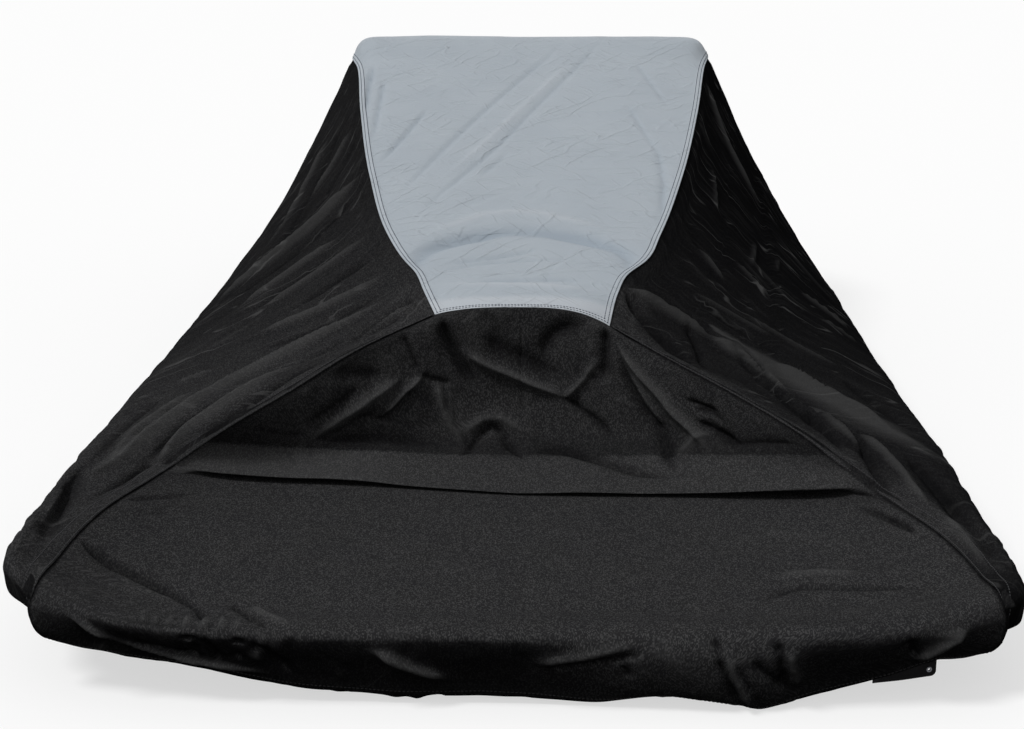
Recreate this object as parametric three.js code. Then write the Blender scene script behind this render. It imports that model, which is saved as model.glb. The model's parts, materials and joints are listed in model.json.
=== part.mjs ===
// Fitted cover for a personal watercraft, as it hangs on the craft, in millimetres.
// Coated woven polyester: a pale top panel over seat and handlebars, two black side panels, and a
// black rear panel over the rear deck with one crosswise tuck. The cover is hollow and open below.
// The sizes below count x to the right, y forward from the stern edge and z up from the rear deck.
import * as THREE from "three";

// ---- Driving dimensions ----
const clothThickness = 1.8;
const seamGap = 0.5; // between two panels, so that they never touch
const sewnGap = 0.3; // between a sewn-on piece and its panel
const barForward = 2120; // the handlebars, where the cover is highest
const barHeight = 530;

const tuck = {
  overlap: 34, // depth of the folded cloth
  lip: 9, // height of its lip over the deck
  setBack: 10, // of the lip, towards the stern
  bowLeft: 40,
  bowRight: 15,
  fadeFrom: 0.84,
  pinchWidth: 0.07,
};
const tab = {
  across: 435, // to its left edge
  width: 78,
  bottomLeft: -60,
  bottomRight: -54,
  topLeft: -14,
  topRight: 3,
  thickness: 1.6,
  cornerRadius: 7,
};
const eyelet = { hole: 3, flange: 7, wall: 0.6, clearance: 0.15, inset: 9 };

// Top panel, from the back of the seat to the bow. A section is a crown that bends down to its
// edges: the higher "flat", the flatter its middle and the sharper the bend.
const topSections = [
  { forward: 748, left: 131, right: 136, crown: 238, leftEdge: 226, rightEdge: 209, flat: 3, steps: 2 },
  { forward: 840, left: 155, right: 152, crown: 252, leftEdge: 244, rightEdge: 240, flat: 3, steps: 1 },
  { forward: 893, left: 170, right: 168, crown: 263, leftEdge: 259, rightEdge: 257, flat: 3, steps: 1 },
  { forward: 945, left: 194, right: 202, crown: 275, leftEdge: 271, rightEdge: 271, flat: 4, steps: 2 },
  { forward: 1050, left: 229, right: 230, crown: 300, leftEdge: 293, rightEdge: 293, flat: 4, steps: 3 },
  { forward: 1300, left: 281, right: 282, crown: 356, leftEdge: 350, rightEdge: 350, flat: 4, steps: 3 },
  { forward: 1650, left: 331, right: 335, crown: 431, leftEdge: 424, rightEdge: 424, flat: 5, steps: 3 },
  { forward: 1960, left: 367, right: 371, crown: 497, leftEdge: 476, rightEdge: 478, flat: 9, steps: 1 },
  { forward: barForward, left: 393, right: 391, crown: barHeight, leftEdge: 480, rightEdge: 486,
    flat: 30, steps: 1 },
  { forward: 2260, left: 374, right: 374, crown: 484, leftEdge: 436, rightEdge: 438, flat: 9, steps: 2 },
  { forward: 2600, left: 288, right: 288, crown: 342, leftEdge: 308, rightEdge: 308, flat: 4, steps: 2 },
  { forward: 2950, left: 170, right: 170, crown: 214, leftEdge: 190, rightEdge: 190, flat: 3, steps: 1 },
  { forward: 3110, left: 118, right: 118, crown: 154, leftEdge: 138, rightEdge: 138, flat: 3, steps: 1 },
  { forward: 3185, left: 88, right: 88, crown: 104, leftEdge: 96, rightEdge: 96, flat: 2, steps: 0 },
];
const edgeStrip = 0.93; // where the top panel's last column starts, as a share of its half width

// Rear panel, from the back of the seat to the stern edge. Its ends lie on the two diagonal seams.
const rearSections = [
  { left: [-131, 748, 226], middle: [0, 748, 238], right: [136, 748, 209], bend: 3, steps: 3 },
  { left: [-240, 690, 186], middle: [0, 742, 160], right: [218, 690, 175], bend: 2, steps: 3 },
  { left: [-341, 622, 136], middle: [0, 735, 86], right: [322, 618, 134], bend: 2, steps: 3 },
  { left: [-427, 567, 95], middle: [0, 712, 36], right: [411, 536, 97], bend: 2.4, steps: 1 },
  { left: [-468, 547, 71], middle: [0, 650, 20], right: [455, 488, 72], bend: 2.8, steps: 1 },
  { left: [-497, 528, 53], middle: [0, 549, 3], right: [487, 454, 55], bend: 3.2, steps: 1 },
  { left: [-508, 502, 50], middle: [0, 544, 1], right: [502, 432, 49], bend: 3.5, steps: 1 },
  { left: [-519, 470, 50], middle: [0, 539, 0], right: [516, 408, 45], bend: 4, steps: 2 },
  { left: [-553, 330, 54], middle: [0, 360, 0], right: [556, 320, 37], bend: 5, steps: 2 },
  { left: [-571, 160, 51], middle: [0, 130, 2], right: [580, 160, 37], bend: 6, steps: 2 },
  { left: [-575, 52, 42], middle: [0, 12, 0], right: [587, 56, 34], bend: 6, steps: 0 },
];
const tuckSection = 5; // the section at the tuck's lip

// Gunwale line, where the side panels turn down.
const gunwale = [
  { forward: 52, leftHalf: 593, leftHeight: 56, rightHalf: 603, rightHeight: 42 },
  { forward: 85, leftHalf: 613, leftHeight: 70, rightHalf: 616, rightHeight: 47 },
  { forward: 140, leftHalf: 622, leftHeight: 80, rightHalf: 622, rightHeight: 50 },
  { forward: 300, leftHalf: 634, leftHeight: 79, rightHalf: 624, rightHeight: 57 },
  { forward: 600, leftHalf: 636, leftHeight: 76, rightHalf: 625, rightHeight: 63 },
  { forward: 1100, leftHalf: 634, leftHeight: 64, rightHalf: 623, rightHeight: 58 },
  { forward: 1700, leftHalf: 628, leftHeight: 57, rightHalf: 622, rightHeight: 54 },
  { forward: 2150, leftHalf: 616, leftHeight: 55, rightHalf: 612, rightHeight: 50 },
  { forward: 2500, leftHalf: 545, leftHeight: 60, rightHalf: 545, rightHeight: 58 },
  { forward: 2800, leftHalf: 430, leftHeight: 72, rightHalf: 430, rightHeight: 72 },
  { forward: 3000, leftHalf: 312, leftHeight: 82, rightHalf: 312, rightHeight: 82 },
  { forward: 3110, leftHalf: 220, leftHeight: 88, rightHalf: 220, rightHeight: 88 },
  { forward: 3185, leftHalf: 120, leftHeight: 92, rightHalf: 120, rightHeight: 92 },
];
// How far the hem hangs below the gunwale and below the stern edge.
const sideHem = [
  { forward: 50, leftDrop: 42, rightDrop: 48 },
  { forward: 140, leftDrop: 66, rightDrop: 66 },
  { forward: 320, leftDrop: 108, rightDrop: 104 },
  { forward: 700, leftDrop: 134, rightDrop: 126 },
  { forward: 1200, leftDrop: 126, rightDrop: 132 },
  { forward: 1800, leftDrop: 120, rightDrop: 120 },
  { forward: 2500, leftDrop: 130, rightDrop: 124 },
  { forward: 3185, leftDrop: 110, rightDrop: 110 },
];
const sternHem = [
  { across: -575, drop: 42 },
  { across: -490, drop: 27 },
  { across: -360, drop: 32 },
  { across: -290, drop: 48 },
  { across: -195, drop: 63 },
  { across: 0, drop: 64 },
  { across: 180, drop: 63 },
  { across: 240, drop: 71 },
  { across: 300, drop: 81 },
  { across: 360, drop: 69 },
  { across: 430, drop: 49 },
  { across: 510, drop: 40 },
  { across: 587, drop: 44 },
];
// How far a side panel sags between the seam and the gunwale.
const sideSag = [
  { forward: 52, sag: 0 },
  { forward: 300, sag: 3 },
  { forward: 620, sag: 12 },
  { forward: 900, sag: 18 },
  { forward: 1500, sag: 15 },
  { forward: 2120, sag: 7 },
  { forward: 2700, sag: 6 },
  { forward: 3185, sag: 0 },
];
// Skirt and hem: how far out, and which share of the drop. The turned hem ends in an upright lip.
const skirt = [
  { out: 4, down: 0.14 },
  { out: 5, down: 0.5 },
  { out: -1, down: 0.93 },
  { out: -16, down: 1.0 },
  { out: -27, down: 0.72 },
];

// Main folds, each a soft ridge (or, with a negative height, a trough) from one point to another.
const folds = [
  // back of the seat
  { from: [-129, 739, 219], to: [-76, 732, 127], width: 24, height: -8 },
  { from: [-95, 735, 168], to: [59, 727, 104], width: 24, height: 8 },
  { from: [-141, 720, 150], to: [-206, 692, 88], width: 24, height: 7 },
  { from: [-52, 722, 52], to: [15, 700, 30], width: 24, height: -6 },
  { from: [138, 729, 199], to: [232, 661, 48], width: 24, height: 9 },
  { from: [190, 695, 160], to: [290, 640, 64], width: 24, height: -8 },
  // rear deck and stern
  { from: [-563, 215, 52], to: [-400, 140, 5], width: 26, height: 7 },
  { from: [-400, 140, 5], to: [-361, 40, 4], width: 24, height: 6 },
  { from: [-341, 113, 1], to: [-263, 7, -12], width: 24, height: 7 },
  { from: [-517, 37, 24], to: [-343, 6, -20], width: 22, height: 8 },
  { from: [-162, 3, -7], to: [-82, 6, -41], width: 22, height: 8 },
  { from: [240, 44, 4], to: [258, 6, -50], width: 22, height: -7 },
  { from: [314, 29, 2], to: [324, 6, -40], width: 22, height: 7 },
  // left side
  { from: [-289, 1309, 346], to: [-500, 1200, 150], width: 36, height: 8 },
  { from: [-318, 1121, 252], to: [-540, 700, 90], width: 36, height: -8 },
  { from: [-160, 851, 247], to: [-363, 758, 144], width: 28, height: 8 },
  { from: [-240, 790, 190], to: [-560, 440, 76], width: 30, height: 7 },
  // right side
  { from: [180, 810, 215], to: [290, 715, 150], width: 26, height: 9 },
  { from: [310, 830, 160], to: [449, 575, 88], width: 28, height: 8 },
  { from: [449, 560, 86], to: [540, 440, 50], width: 24, height: 6 },
  { from: [397, 1834, 383], to: [570, 1300, 90], width: 45, height: -8 },
  { from: [301, 1104, 255], to: [560, 760, 75], width: 36, height: -7 },
  // top panel
  { from: [-215, 1005, 284], to: [-20, 1046, 298], width: 34, height: -5 },
  { from: [-60, 1046, 298], to: [190, 985, 281], width: 34, height: -5 },
  { from: [87, 1948, 497], to: [-213, 1070, 300], width: 45, height: 5 },
  { from: [-132, 1898, 483], to: [-261, 1372, 368], width: 40, height: 4 },
];

// ---- Grids of points on the middle of the cloth ----
// The row of the finished grid at which each section lies.
const rowStarts = (sections) => sections.map((_, i) =>
  sections.slice(0, i).reduce((total, earlier) => total + earlier.steps, 0));
const tuckRow = rowStarts(rearSections)[tuckSection];

// One value at every row of a lofted panel, smoothly through the table's named column.
function loftColumn(sections, valueOf) {
  const starts = rowStarts(sections);
  const last = starts[starts.length - 1];
  const values = sections.map(valueOf);
  const smooth = [];
  for (let row = 0; row <= last; row += 1) {
    let i = starts.findIndex((start, n) => row < start + sections[n].steps);
    if (i < 0) i = sections.length - 2;
    const share = (row - starts[i]) / sections[i].steps;
    smooth.push(smoothBetween(values, i, share));
  }
  return smooth;
}

const overshoot = 4; // the most that a smooth line may pass its rows by

// Catmull-Rom step from values[i] to values[i + 1].
function smoothBetween(values, i, share) {
  const before = values[Math.max(i - 1, 0)];
  const after = values[Math.min(i + 2, values.length - 1)];
  const slopeA = (values[i + 1] - before) / 2;
  const slopeB = (after - values[i]) / 2;
  return THREE.MathUtils.clamp(
    hermite(values[i], values[i + 1], slopeA, slopeB, share),
    Math.min(values[i], values[i + 1]) - overshoot,
    Math.max(values[i], values[i + 1]) + overshoot,
  );
}

function hermite(a, b, slopeA, slopeB, s) {
  const s2 = s * s;
  const s3 = s2 * s;
  return a * (2 * s3 - 3 * s2 + 1) + slopeA * (s3 - 2 * s2 + s)
    + b * (3 * s2 - 2 * s3) + slopeB * (s3 - s2);
}

// A table's column at any place along its key, on a smooth line through its rows.
function lookUp(table, key, column, at) {
  const after = table.findIndex((row) => row[key] > at);
  const i = after < 0 ? table.length - 2 : Math.max(after - 1, 0);
  const slope = (n) => {
    const before = table[Math.max(n - 1, 0)];
    const next = table[Math.min(n + 1, table.length - 1)];
    return (next[column] - before[column]) / (next[key] - before[key]);
  };
  const span = table[i + 1][key] - table[i][key];
  const share = THREE.MathUtils.clamp((at - table[i][key]) / span, 0, 1);
  return hermite(table[i][column], table[i + 1][column], span * slope(i), span * slope(i + 1), share);
}

const vector = (x, y, z) => new THREE.Vector3(x, y, z);

// Places across the top panel, from -1 to 1: even, with one narrow strip along each edge.
function placesAcross(count, strip) {
  const places = [];
  for (let i = 0; i <= count; i += 1) {
    if (i === 0 || i === count) places.push(i === 0 ? -1 : 1);
    else places.push(strip * (2 * (i - 1) / (count - 2) - 1));
  }
  return places;
}

const topColumns = 15;
const rearColumns = 2 * topColumns;
const ribColumns = 7; // from seam to gunwale
const topPlaces = placesAcross(topColumns, edgeStrip);

// Height of the top panel's section at a place across it.
function crownHeight(section, place) {
  const edge = place < 0 ? section.leftEdge : section.rightEdge;
  return section.crown - (section.crown - edge) * Math.abs(place) ** section.flat;
}

const bowTurn = Math.PI / 5; // how far the bow's corners face sideways
const sternTurn = Math.PI / 4;

function topGrid() {
  const columns = {};
  for (const name of ["forward", "left", "right", "crown", "leftEdge", "rightEdge", "flat"]) {
    columns[name] = loftColumn(topSections, (section) => section[name]);
  }
  const grid = columns.forward.map((forward, row) => {
    const section = Object.fromEntries(Object.entries(columns).map(([name, list]) => [name, list[row]]));
    return topPlaces.map((place) => vector(
      place < 0 ? place * section.left : place * section.right,
      forward,
      crownHeight(section, place),
    ));
  });
  const bowEdge = grid[grid.length - 1];
  const drop = sideHem[sideHem.length - 1].leftDrop;
  for (const step of skirt) {
    grid.push(bowEdge.map((point, i) => {
      const turn = bowTurn * topPlaces[i];
      return point.clone().add(vector(
        step.out * Math.sin(turn),
        step.out * Math.cos(turn),
        -step.down * drop,
      ));
    }));
  }
  return grid;
}

// Share of the tuck that is folded at a place across the rear panel: none at the seams.
function tuckStrength(place) {
  return 1 - THREE.MathUtils.smoothstep(Math.abs(place), tuck.fadeFrom, 1);
}

function rearGrid() {
  const ends = {};
  for (const name of ["left", "middle", "right"]) {
    ends[name] = [0, 1, 2].map((axis) => loftColumn(rearSections, (section) => section[name][axis]));
  }
  const bends = loftColumn(rearSections, (section) => section.bend);
  const grid = bends.map((bend, row) => {
    const [left, middle, right] = ["left", "middle", "right"].map((name) =>
      vector(ends[name][0][row], ends[name][1][row], ends[name][2][row]));
    const cells = [];
    for (let i = 0; i <= rearColumns; i += 1) {
      const place = 2 * i / rearColumns - 1;
      const end = place < 0 ? left : right;
      const share = Math.abs(place) ** bend;
      cells.push(vector(
        middle.x + (end.x - middle.x) * Math.abs(place),
        middle.y + (end.y - middle.y) * share,
        middle.z + (end.z - middle.z) * share,
      ));
    }
    return cells;
  });
  const topRow = topGrid()[0];
  grid[0].forEach((point, i) => {
    const half = i / 2;
    point.copy(topRow[Math.floor(half)]).lerp(topRow[Math.ceil(half)], half % 1);
  });
  foldTuck(grid);
  const sternEdge = grid[grid.length - 1];
  for (const step of skirt) {
    grid.push(sternEdge.map((point, i) => {
      const drop = lookUp(sternHem, "across", "drop", point.x);
      const turn = cornerTurn(2 * i / rearColumns - 1);
      return point.clone().add(vector(
        step.out * Math.sin(turn),
        -step.out * Math.cos(turn),
        -step.down * drop,
      ));
    }));
  }
  return grid;
}

const cornerStart = 0.75; // share of the half width at which the stern starts to turn

// The way that the skirt faces: straight back in the middle, half sideways at the corner seams.
function cornerTurn(place) {
  return Math.sign(place) * sternTurn * THREE.MathUtils.smoothstep(Math.abs(place), cornerStart, 1);
}

// The tuck lays the rows at its lip, back and start over each other in a flat zigzag. All the
// rows around it bow forward on either side of the middle.
function foldTuck(grid) {
  const bowShares = [0.5, 1, 1, 1, 0.6]; // from the row before the lip
  grid[tuckRow].forEach((_, i) => {
    const place = 2 * i / rearColumns - 1;
    const bow = (place < 0 ? tuck.bowLeft : tuck.bowRight) * Math.sin(Math.PI * Math.abs(place) ** 1.2);
    bowShares.forEach((share, n) => {
      grid[tuckRow - 1 + n][i].y += share * bow;
    });
    const strength = tuckStrength(place);
    const pinch = 1 - 0.5 * Math.exp(-((place / tuck.pinchWidth) ** 2));
    const height = tuck.lip * strength * pinch;
    grid[tuckRow - 1][i].z += 0.5 * height;
    grid[tuckRow][i].y -= tuck.setBack * strength;
    grid[tuckRow][i].z += height;
    grid[tuckRow + 1][i].y += tuck.overlap * strength;
    grid[tuckRow + 1][i].z += 0.5 * height;
  });
}

// A side panel: ribs from the stern corner seam forward to the bow corner seam.
function sideGrid(side, rear, top) {
  const column = side === "left" ? 0 : rearColumns;
  const topColumn = side === "left" ? 0 : topColumns;
  const topRows = top.length - skirt.length;
  const rearRows = rear.length - skirt.length;
  const seam = [];
  for (let row = rearRows - 1; row > 0; row -= 1) seam.push(rear[row][column]);
  for (let row = 0; row < topRows; row += 1) seam.push(top[row][topColumn]);
  const ribs = seam.map((start) => sideRib(side, start));
  ribs[0] = cornerRib(rear, rearRows - 1, column);
  ribs[ribs.length - 1] = cornerRib(top, topRows - 1, topColumn);
  return ribs;
}

// The rib that runs down a corner seam, along the neighbour's edge.
function cornerRib(neighbour, edgeRow, column) {
  const top = neighbour[edgeRow][column];
  const first = neighbour[edgeRow + 1][column];
  const rib = [];
  for (let i = 0; i < ribColumns; i += 1) rib.push(top.clone().lerp(first, i / ribColumns));
  for (let step = 1; step <= skirt.length; step += 1) rib.push(neighbour[edgeRow + step][column].clone());
  return rib;
}

function sideRib(side, start) {
  const sign = side === "left" ? -1 : 1;
  const forward = start.y;
  const edge = vector(
    sign * lookUp(gunwale, "forward", `${side}Half`, forward),
    forward,
    lookUp(gunwale, "forward", `${side}Height`, forward),
  );
  const sag = lookUp(sideSag, "forward", "sag", forward);
  const slope = vector(edge.x - start.x, 0, edge.z - start.z).normalize();
  const inward = vector(sign * slope.z, 0, -Math.abs(slope.x)).normalize();
  const rib = [];
  for (let i = 0; i < ribColumns; i += 1) {
    const share = i / ribColumns;
    rib.push(start.clone().lerp(edge, share).addScaledVector(inward, 4 * sag * share * (1 - share)));
  }
  const drop = lookUp(sideHem, "forward", `${side}Drop`, forward);
  const turn = gunwaleTurn(forward);
  for (const step of skirt) {
    rib.push(edge.clone().add(vector(
      sign * step.out * Math.cos(turn),
      step.out * Math.sin(turn),
      -step.down * drop,
    )));
  }
  return rib;
}

// The way that the gunwale faces in plan: back at the stern corner, sideways, and ahead at the bow.
function gunwaleTurn(forward) {
  const reach = 20;
  const change = lookUp(gunwale, "forward", "leftHalf", forward + reach)
    - lookUp(gunwale, "forward", "leftHalf", forward - reach);
  return THREE.MathUtils.clamp(Math.atan2(-change, 2 * reach), -sternTurn, Math.PI / 2 - bowTurn);
}

// ---- Normals, folds and seams ----
function unitNormals(grid) {
  return grid.map((cells, row) => cells.map((point, i) => {
    const total = vector(0, 0, 0);
    for (const [down, across] of [[1, 1], [1, -1], [-1, 1], [-1, -1]]) {
      const next = grid[row + down]?.[i];
      const beside = grid[row][i + across];
      if (!next || !beside) continue;
      const along = next.clone().sub(point);
      const sideways = beside.clone().sub(point);
      const face = along.cross(sideways).multiplyScalar(down * across);
      if (face.lengthSq() > 1e-6) total.add(face.normalize());
    }
    return total.normalize();
  }));
}

// Rows and columns of a right-hand panel run the other way round, so its normals are turned.
function outwardNormals(grid, sign) {
  return unitNormals(grid).map((cells) => cells.map((normal) => normal.multiplyScalar(sign)));
}

const foldEnd = 0.08; // share of a fold's length over which its ends run out

function foldHeight(point) {
  let height = 0;
  for (const fold of folds) {
    const line = new THREE.Line3(vector(...fold.from), vector(...fold.to));
    const nearest = line.closestPointToPoint(point, true, vector(0, 0, 0));
    const share = line.closestPointToPointParameter(point, true);
    const taper = Math.sin(Math.PI * THREE.MathUtils.clamp(share, foldEnd, 1 - foldEnd)) ** 0.5;
    height += fold.height * taper * Math.exp(-((nearest.distanceTo(point) / fold.width) ** 2));
  }
  return height;
}

// Moves the inside of a panel along its normals by its folds; its edges and the tuck stay.
function pleat(panel, keepRows = []) {
  const inside = (i, count) => Math.min(1, i / 2, (count - 1 - i) / 2);
  panel.grid.forEach((cells, row) => {
    if (keepRows.includes(row)) return;
    cells.forEach((point, i) => {
      const share = inside(row, panel.grid.length) * inside(i, cells.length);
      point.addScaledVector(panel.normals[row][i], share * foldHeight(point));
    });
  });
  panel.normals = outwardNormals(panel.grid, panel.sign);
}

// Two panels share a seam: at each pair of corners both get the same rim, half a gap apart.
function joinSeam(first, second, pairs) {
  const moves = pairs.map(([[rowA, colA], [rowB, colB]], i) => {
    const normal = first.normals[rowA][colA].clone().add(second.normals[rowB][colB]).normalize();
    const [previous] = pairs[Math.max(i - 1, 0)];
    const [next] = pairs[Math.min(i + 1, pairs.length - 1)];
    const along = first.grid[next[0]][next[1]].clone().sub(first.grid[previous[0]][previous[1]]);
    const into = along.cross(normal).normalize();
    if (into.dot(inwardAt(first, rowA, colA)) < 0) into.negate();
    return { normal, into };
  });
  pairs.forEach(([[rowA, colA], [rowB, colB]], i) => {
    const { normal, into } = moves[i];
    first.rims.push({ row: rowA, col: colA, normal, into: into.clone() });
    second.rims.push({ row: rowB, col: colB, normal, into: into.clone().negate() });
  });
}

// Towards the middle of the panel from a point on its border.
function inwardAt(panel, row, col) {
  const { grid } = panel;
  const rows = grid.length - 1;
  const cols = grid[0].length - 1;
  const nextRow = row === 0 ? 1 : row === rows ? rows - 1 : row;
  const nextCol = col === 0 ? 1 : col === cols ? cols - 1 : col;
  return grid[nextRow][nextCol].clone().sub(grid[row][col]);
}

function applyRims(panel) {
  for (const { row, col, normal, into } of panel.rims) {
    panel.normals[row][col] = normal.clone();
    panel.grid[row][col].addScaledVector(into, seamGap / 2);
  }
}

// Points between two true corners of a seam lie on the straight line between them.
function straighten(panel, cells) {
  const [first, last] = [cells[0], cells[cells.length - 1]];
  cells.slice(1, -1).forEach(([row, col], i) => {
    const share = (i + 1) / (cells.length - 1);
    panel.grid[row][col].copy(panel.grid[first[0]][first[1]]).lerp(panel.grid[last[0]][last[1]], share);
    panel.normals[row][col].copy(panel.normals[first[0]][first[1]])
      .lerp(panel.normals[last[0]][last[1]], share).normalize();
  });
}

// ---- Solids ----
// A closed sheet: an outer and an inner skin half a thickness from the grid, and a rim.
function sheetGeometry({ grid, normals, sign }, thickness) {
  const rows = grid.length;
  const cols = grid[0].length;
  const positions = [];
  for (const half of [thickness / 2, -thickness / 2]) {
    grid.forEach((cells, row) => cells.forEach((point, i) => {
      positions.push(...point.clone().addScaledVector(normals[row][i], half).toArray());
    }));
  }
  const at = (skin, row, col) => skin * rows * cols + row * cols + col;
  const triangles = [];
  const quad = (a, b, c, d) => triangles.push(a, b, c, a, c, d);
  for (let row = 0; row < rows - 1; row += 1) {
    for (let col = 0; col < cols - 1; col += 1) {
      quad(at(0, row, col), at(0, row + 1, col), at(0, row + 1, col + 1), at(0, row, col + 1));
      quad(at(1, row, col), at(1, row, col + 1), at(1, row + 1, col + 1), at(1, row + 1, col));
    }
  }
  const border = [];
  for (let row = 0; row < rows - 1; row += 1) border.push([row, 0]);
  for (let col = 0; col < cols - 1; col += 1) border.push([rows - 1, col]);
  for (let row = rows - 1; row > 0; row -= 1) border.push([row, cols - 1]);
  for (let col = cols - 1; col > 0; col -= 1) border.push([0, col]);
  border.forEach(([row, col], i) => {
    const [nextRow, nextCol] = border[(i + 1) % border.length];
    quad(at(0, row, col), at(1, row, col), at(1, nextRow, nextCol), at(0, nextRow, nextCol));
  });
  if (sign < 0) {
    for (let i = 0; i < triangles.length; i += 3) {
      [triangles[i + 1], triangles[i + 2]] = [triangles[i + 2], triangles[i + 1]];
    }
  }
  const geometry = new THREE.BufferGeometry();
  geometry.setAttribute("position", new THREE.Float32BufferAttribute(positions, 3));
  geometry.setIndex(triangles);
  geometry.computeVertexNormals();
  return geometry;
}

const blackCloth = { color: 0x2a2a2a, roughness: 0.75, metalness: 0 };
const paleCloth = { color: 0xa9b1b9, roughness: 0.7, metalness: 0 };
const blackWebbing = { color: 0x161616, roughness: 0.8, metalness: 0 };
const darkSteel = { color: 0x4c4c4c, roughness: 0.35, metalness: 1 };

function named(name, geometry, finish) {
  const mesh = new THREE.Mesh(geometry, new THREE.MeshStandardMaterial(finish));
  mesh.name = name;
  return mesh;
}

// ---- Panels ----
function makePanels() {
  const topCells = topGrid();
  const rearCells = rearGrid();
  const panel = (grid, sign) => ({ grid, sign, normals: outwardNormals(grid, sign), rims: [] });
  const copyOf = (grid) => grid.map((cells) => cells.map((point) => point.clone()));
  const panels = {
    top: panel(topCells, -1),
    rear: panel(rearCells, 1),
    left: panel(copyOf(sideGrid("left", rearCells, topCells)), 1),
    right: panel(copyOf(sideGrid("right", rearCells, topCells)), -1),
  };
  pleat(panels.top);
  pleat(panels.rear, [tuckRow, tuckRow + 1, tuckRow + 2]);
  pleat(panels.left);
  pleat(panels.right);
  sewPanels(panels);
  return panels;
}

function sewPanels({ top, rear, left, right }) {
  const rearRows = rear.grid.length - skirt.length;
  const topRows = top.grid.length - skirt.length;
  const lastRib = left.grid.length - 1;
  const seatSeam = [];
  for (let col = 0; col <= topColumns; col += 1) seatSeam.push([[0, col], [0, 2 * col]]);
  joinSeam(top, rear, seatSeam);
  for (const [side, topCol, rearCol] of [[left, 0, 0], [right, topColumns, rearColumns]]) {
    const stern = [[[rearRows - 1, rearCol], [0, 0]]];
    const bow = [[[topRows - 1, topCol], [lastRib, 0]]];
    for (let step = 1; step <= skirt.length; step += 1) {
      stern.push([[rearRows - 1 + step, rearCol], [0, ribColumns - 1 + step]]);
      bow.push([[topRows - 1 + step, topCol], [lastRib, ribColumns - 1 + step]]);
    }
    const diagonal = [];
    for (let row = rearRows - 1; row >= 0; row -= 1) {
      diagonal.push([[row, rearCol], [rearRows - 1 - row, 0]]);
    }
    const topEdge = [];
    for (let row = 0; row < topRows; row += 1) topEdge.push([[row, topCol], [rearRows - 1 + row, 0]]);
    joinSeam(rear, side, stern.reverse().concat(diagonal.slice(1)));
    joinSeam(top, side, topEdge.concat(bow.slice(1)));
  }
  [top, rear, left, right].forEach(applyRims);
  for (let col = 0; col < rearColumns; col += 2) straighten(rear, [[0, col], [0, col + 1], [0, col + 2]]);
  for (const side of [left, right]) {
    for (const rib of [0, lastRib]) {
      straighten(side, Array.from({ length: ribColumns + 1 }, (_, col) => [rib, col]));
    }
  }
}

// ---- Tie tab and eyelet, sewn behind the stern hem on the right ----
function makeTab(rear) {
  const reach = 40;
  const hemEnd = rear.grid[rear.grid.length - 1];
  const behind = hemEnd.filter((point) =>
    point.x > tab.across - reach && point.x < tab.across + tab.width + reach);
  const first = behind[0];
  const last = behind[behind.length - 1];
  const turn = Math.atan2(last.y - first.y, last.x - first.x);
  const acrossTab = vector(Math.cos(turn), Math.sin(turn), 0);
  const ahead = vector(-Math.sin(turn), Math.cos(turn), 0);
  const deepest = Math.max(...behind.map((point) => point.dot(ahead)));
  const place = ahead.clone().multiplyScalar(deepest + clothThickness / 2 + sewnGap)
    .addScaledVector(acrossTab, vector(tab.across, first.y, 0).dot(acrossTab));
  const holder = new THREE.Group();
  holder.position.set(place.x, place.y, 0);
  holder.rotation.z = turn;

  const outline = new THREE.Shape();
  outline.moveTo(0, tab.bottomLeft);
  outline.lineTo(tab.width - tab.cornerRadius, tab.bottomRight);
  outline.quadraticCurveTo(tab.width, tab.bottomRight, tab.width, tab.bottomRight + tab.cornerRadius);
  outline.lineTo(tab.width, tab.topRight);
  outline.lineTo(0, tab.topLeft);
  outline.closePath();
  const centre = new THREE.Vector2(tab.width - eyelet.inset, tab.bottomRight + eyelet.inset);
  const barrel = eyelet.hole / 2 + eyelet.wall;
  const hole = new THREE.Path();
  hole.absarc(centre.x, centre.y, barrel + eyelet.clearance, 0, 2 * Math.PI, true);
  outline.holes.push(hole);
  const plate = new THREE.ExtrudeGeometry(outline, {
    depth: tab.thickness, bevelEnabled: false, curveSegments: 8,
  });
  plate.rotateX(Math.PI / 2).translate(0, tab.thickness, 0);
  holder.add(named("tie_tab", plate, blackWebbing));

  const ring = new THREE.LatheGeometry(eyeletProfile(), 16);
  ring.translate(centre.x, tab.thickness / 2, centre.y);
  holder.add(named("tab_eyelet", ring, darkSteel));
  return holder;
}

// Half section of the eyelet: a barrel through the tab with a flange on each face.
function eyeletProfile() {
  const inner = eyelet.hole / 2;
  const barrel = inner + eyelet.wall;
  const outer = eyelet.flange / 2;
  const near = tab.thickness / 2 + eyelet.clearance;
  const far = near + eyelet.wall;
  return [
    [inner, -far], [outer, -far], [outer, -near], [barrel, -near],
    [barrel, near], [outer, near], [outer, far], [inner, far], [inner, -far],
  ].map(([radius, height]) => new THREE.Vector2(radius, height));
}

// ---- The whole cover, with its origin under the top at the handlebars ----
const cover = new THREE.Group();
const panels = makePanels();
cover.add(named("top_panel", sheetGeometry(panels.top, clothThickness), paleCloth));
cover.add(named("side_panel_left", sheetGeometry(panels.left, clothThickness), blackCloth));
cover.add(named("side_panel_right", sheetGeometry(panels.right, clothThickness), blackCloth));
cover.add(named("rear_panel", sheetGeometry(panels.rear, clothThickness), blackCloth));
cover.add(makeTab(panels.rear));
cover.position.set(0, -barForward, clothThickness / 2 - barHeight);

export default cover;
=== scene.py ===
import json

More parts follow.
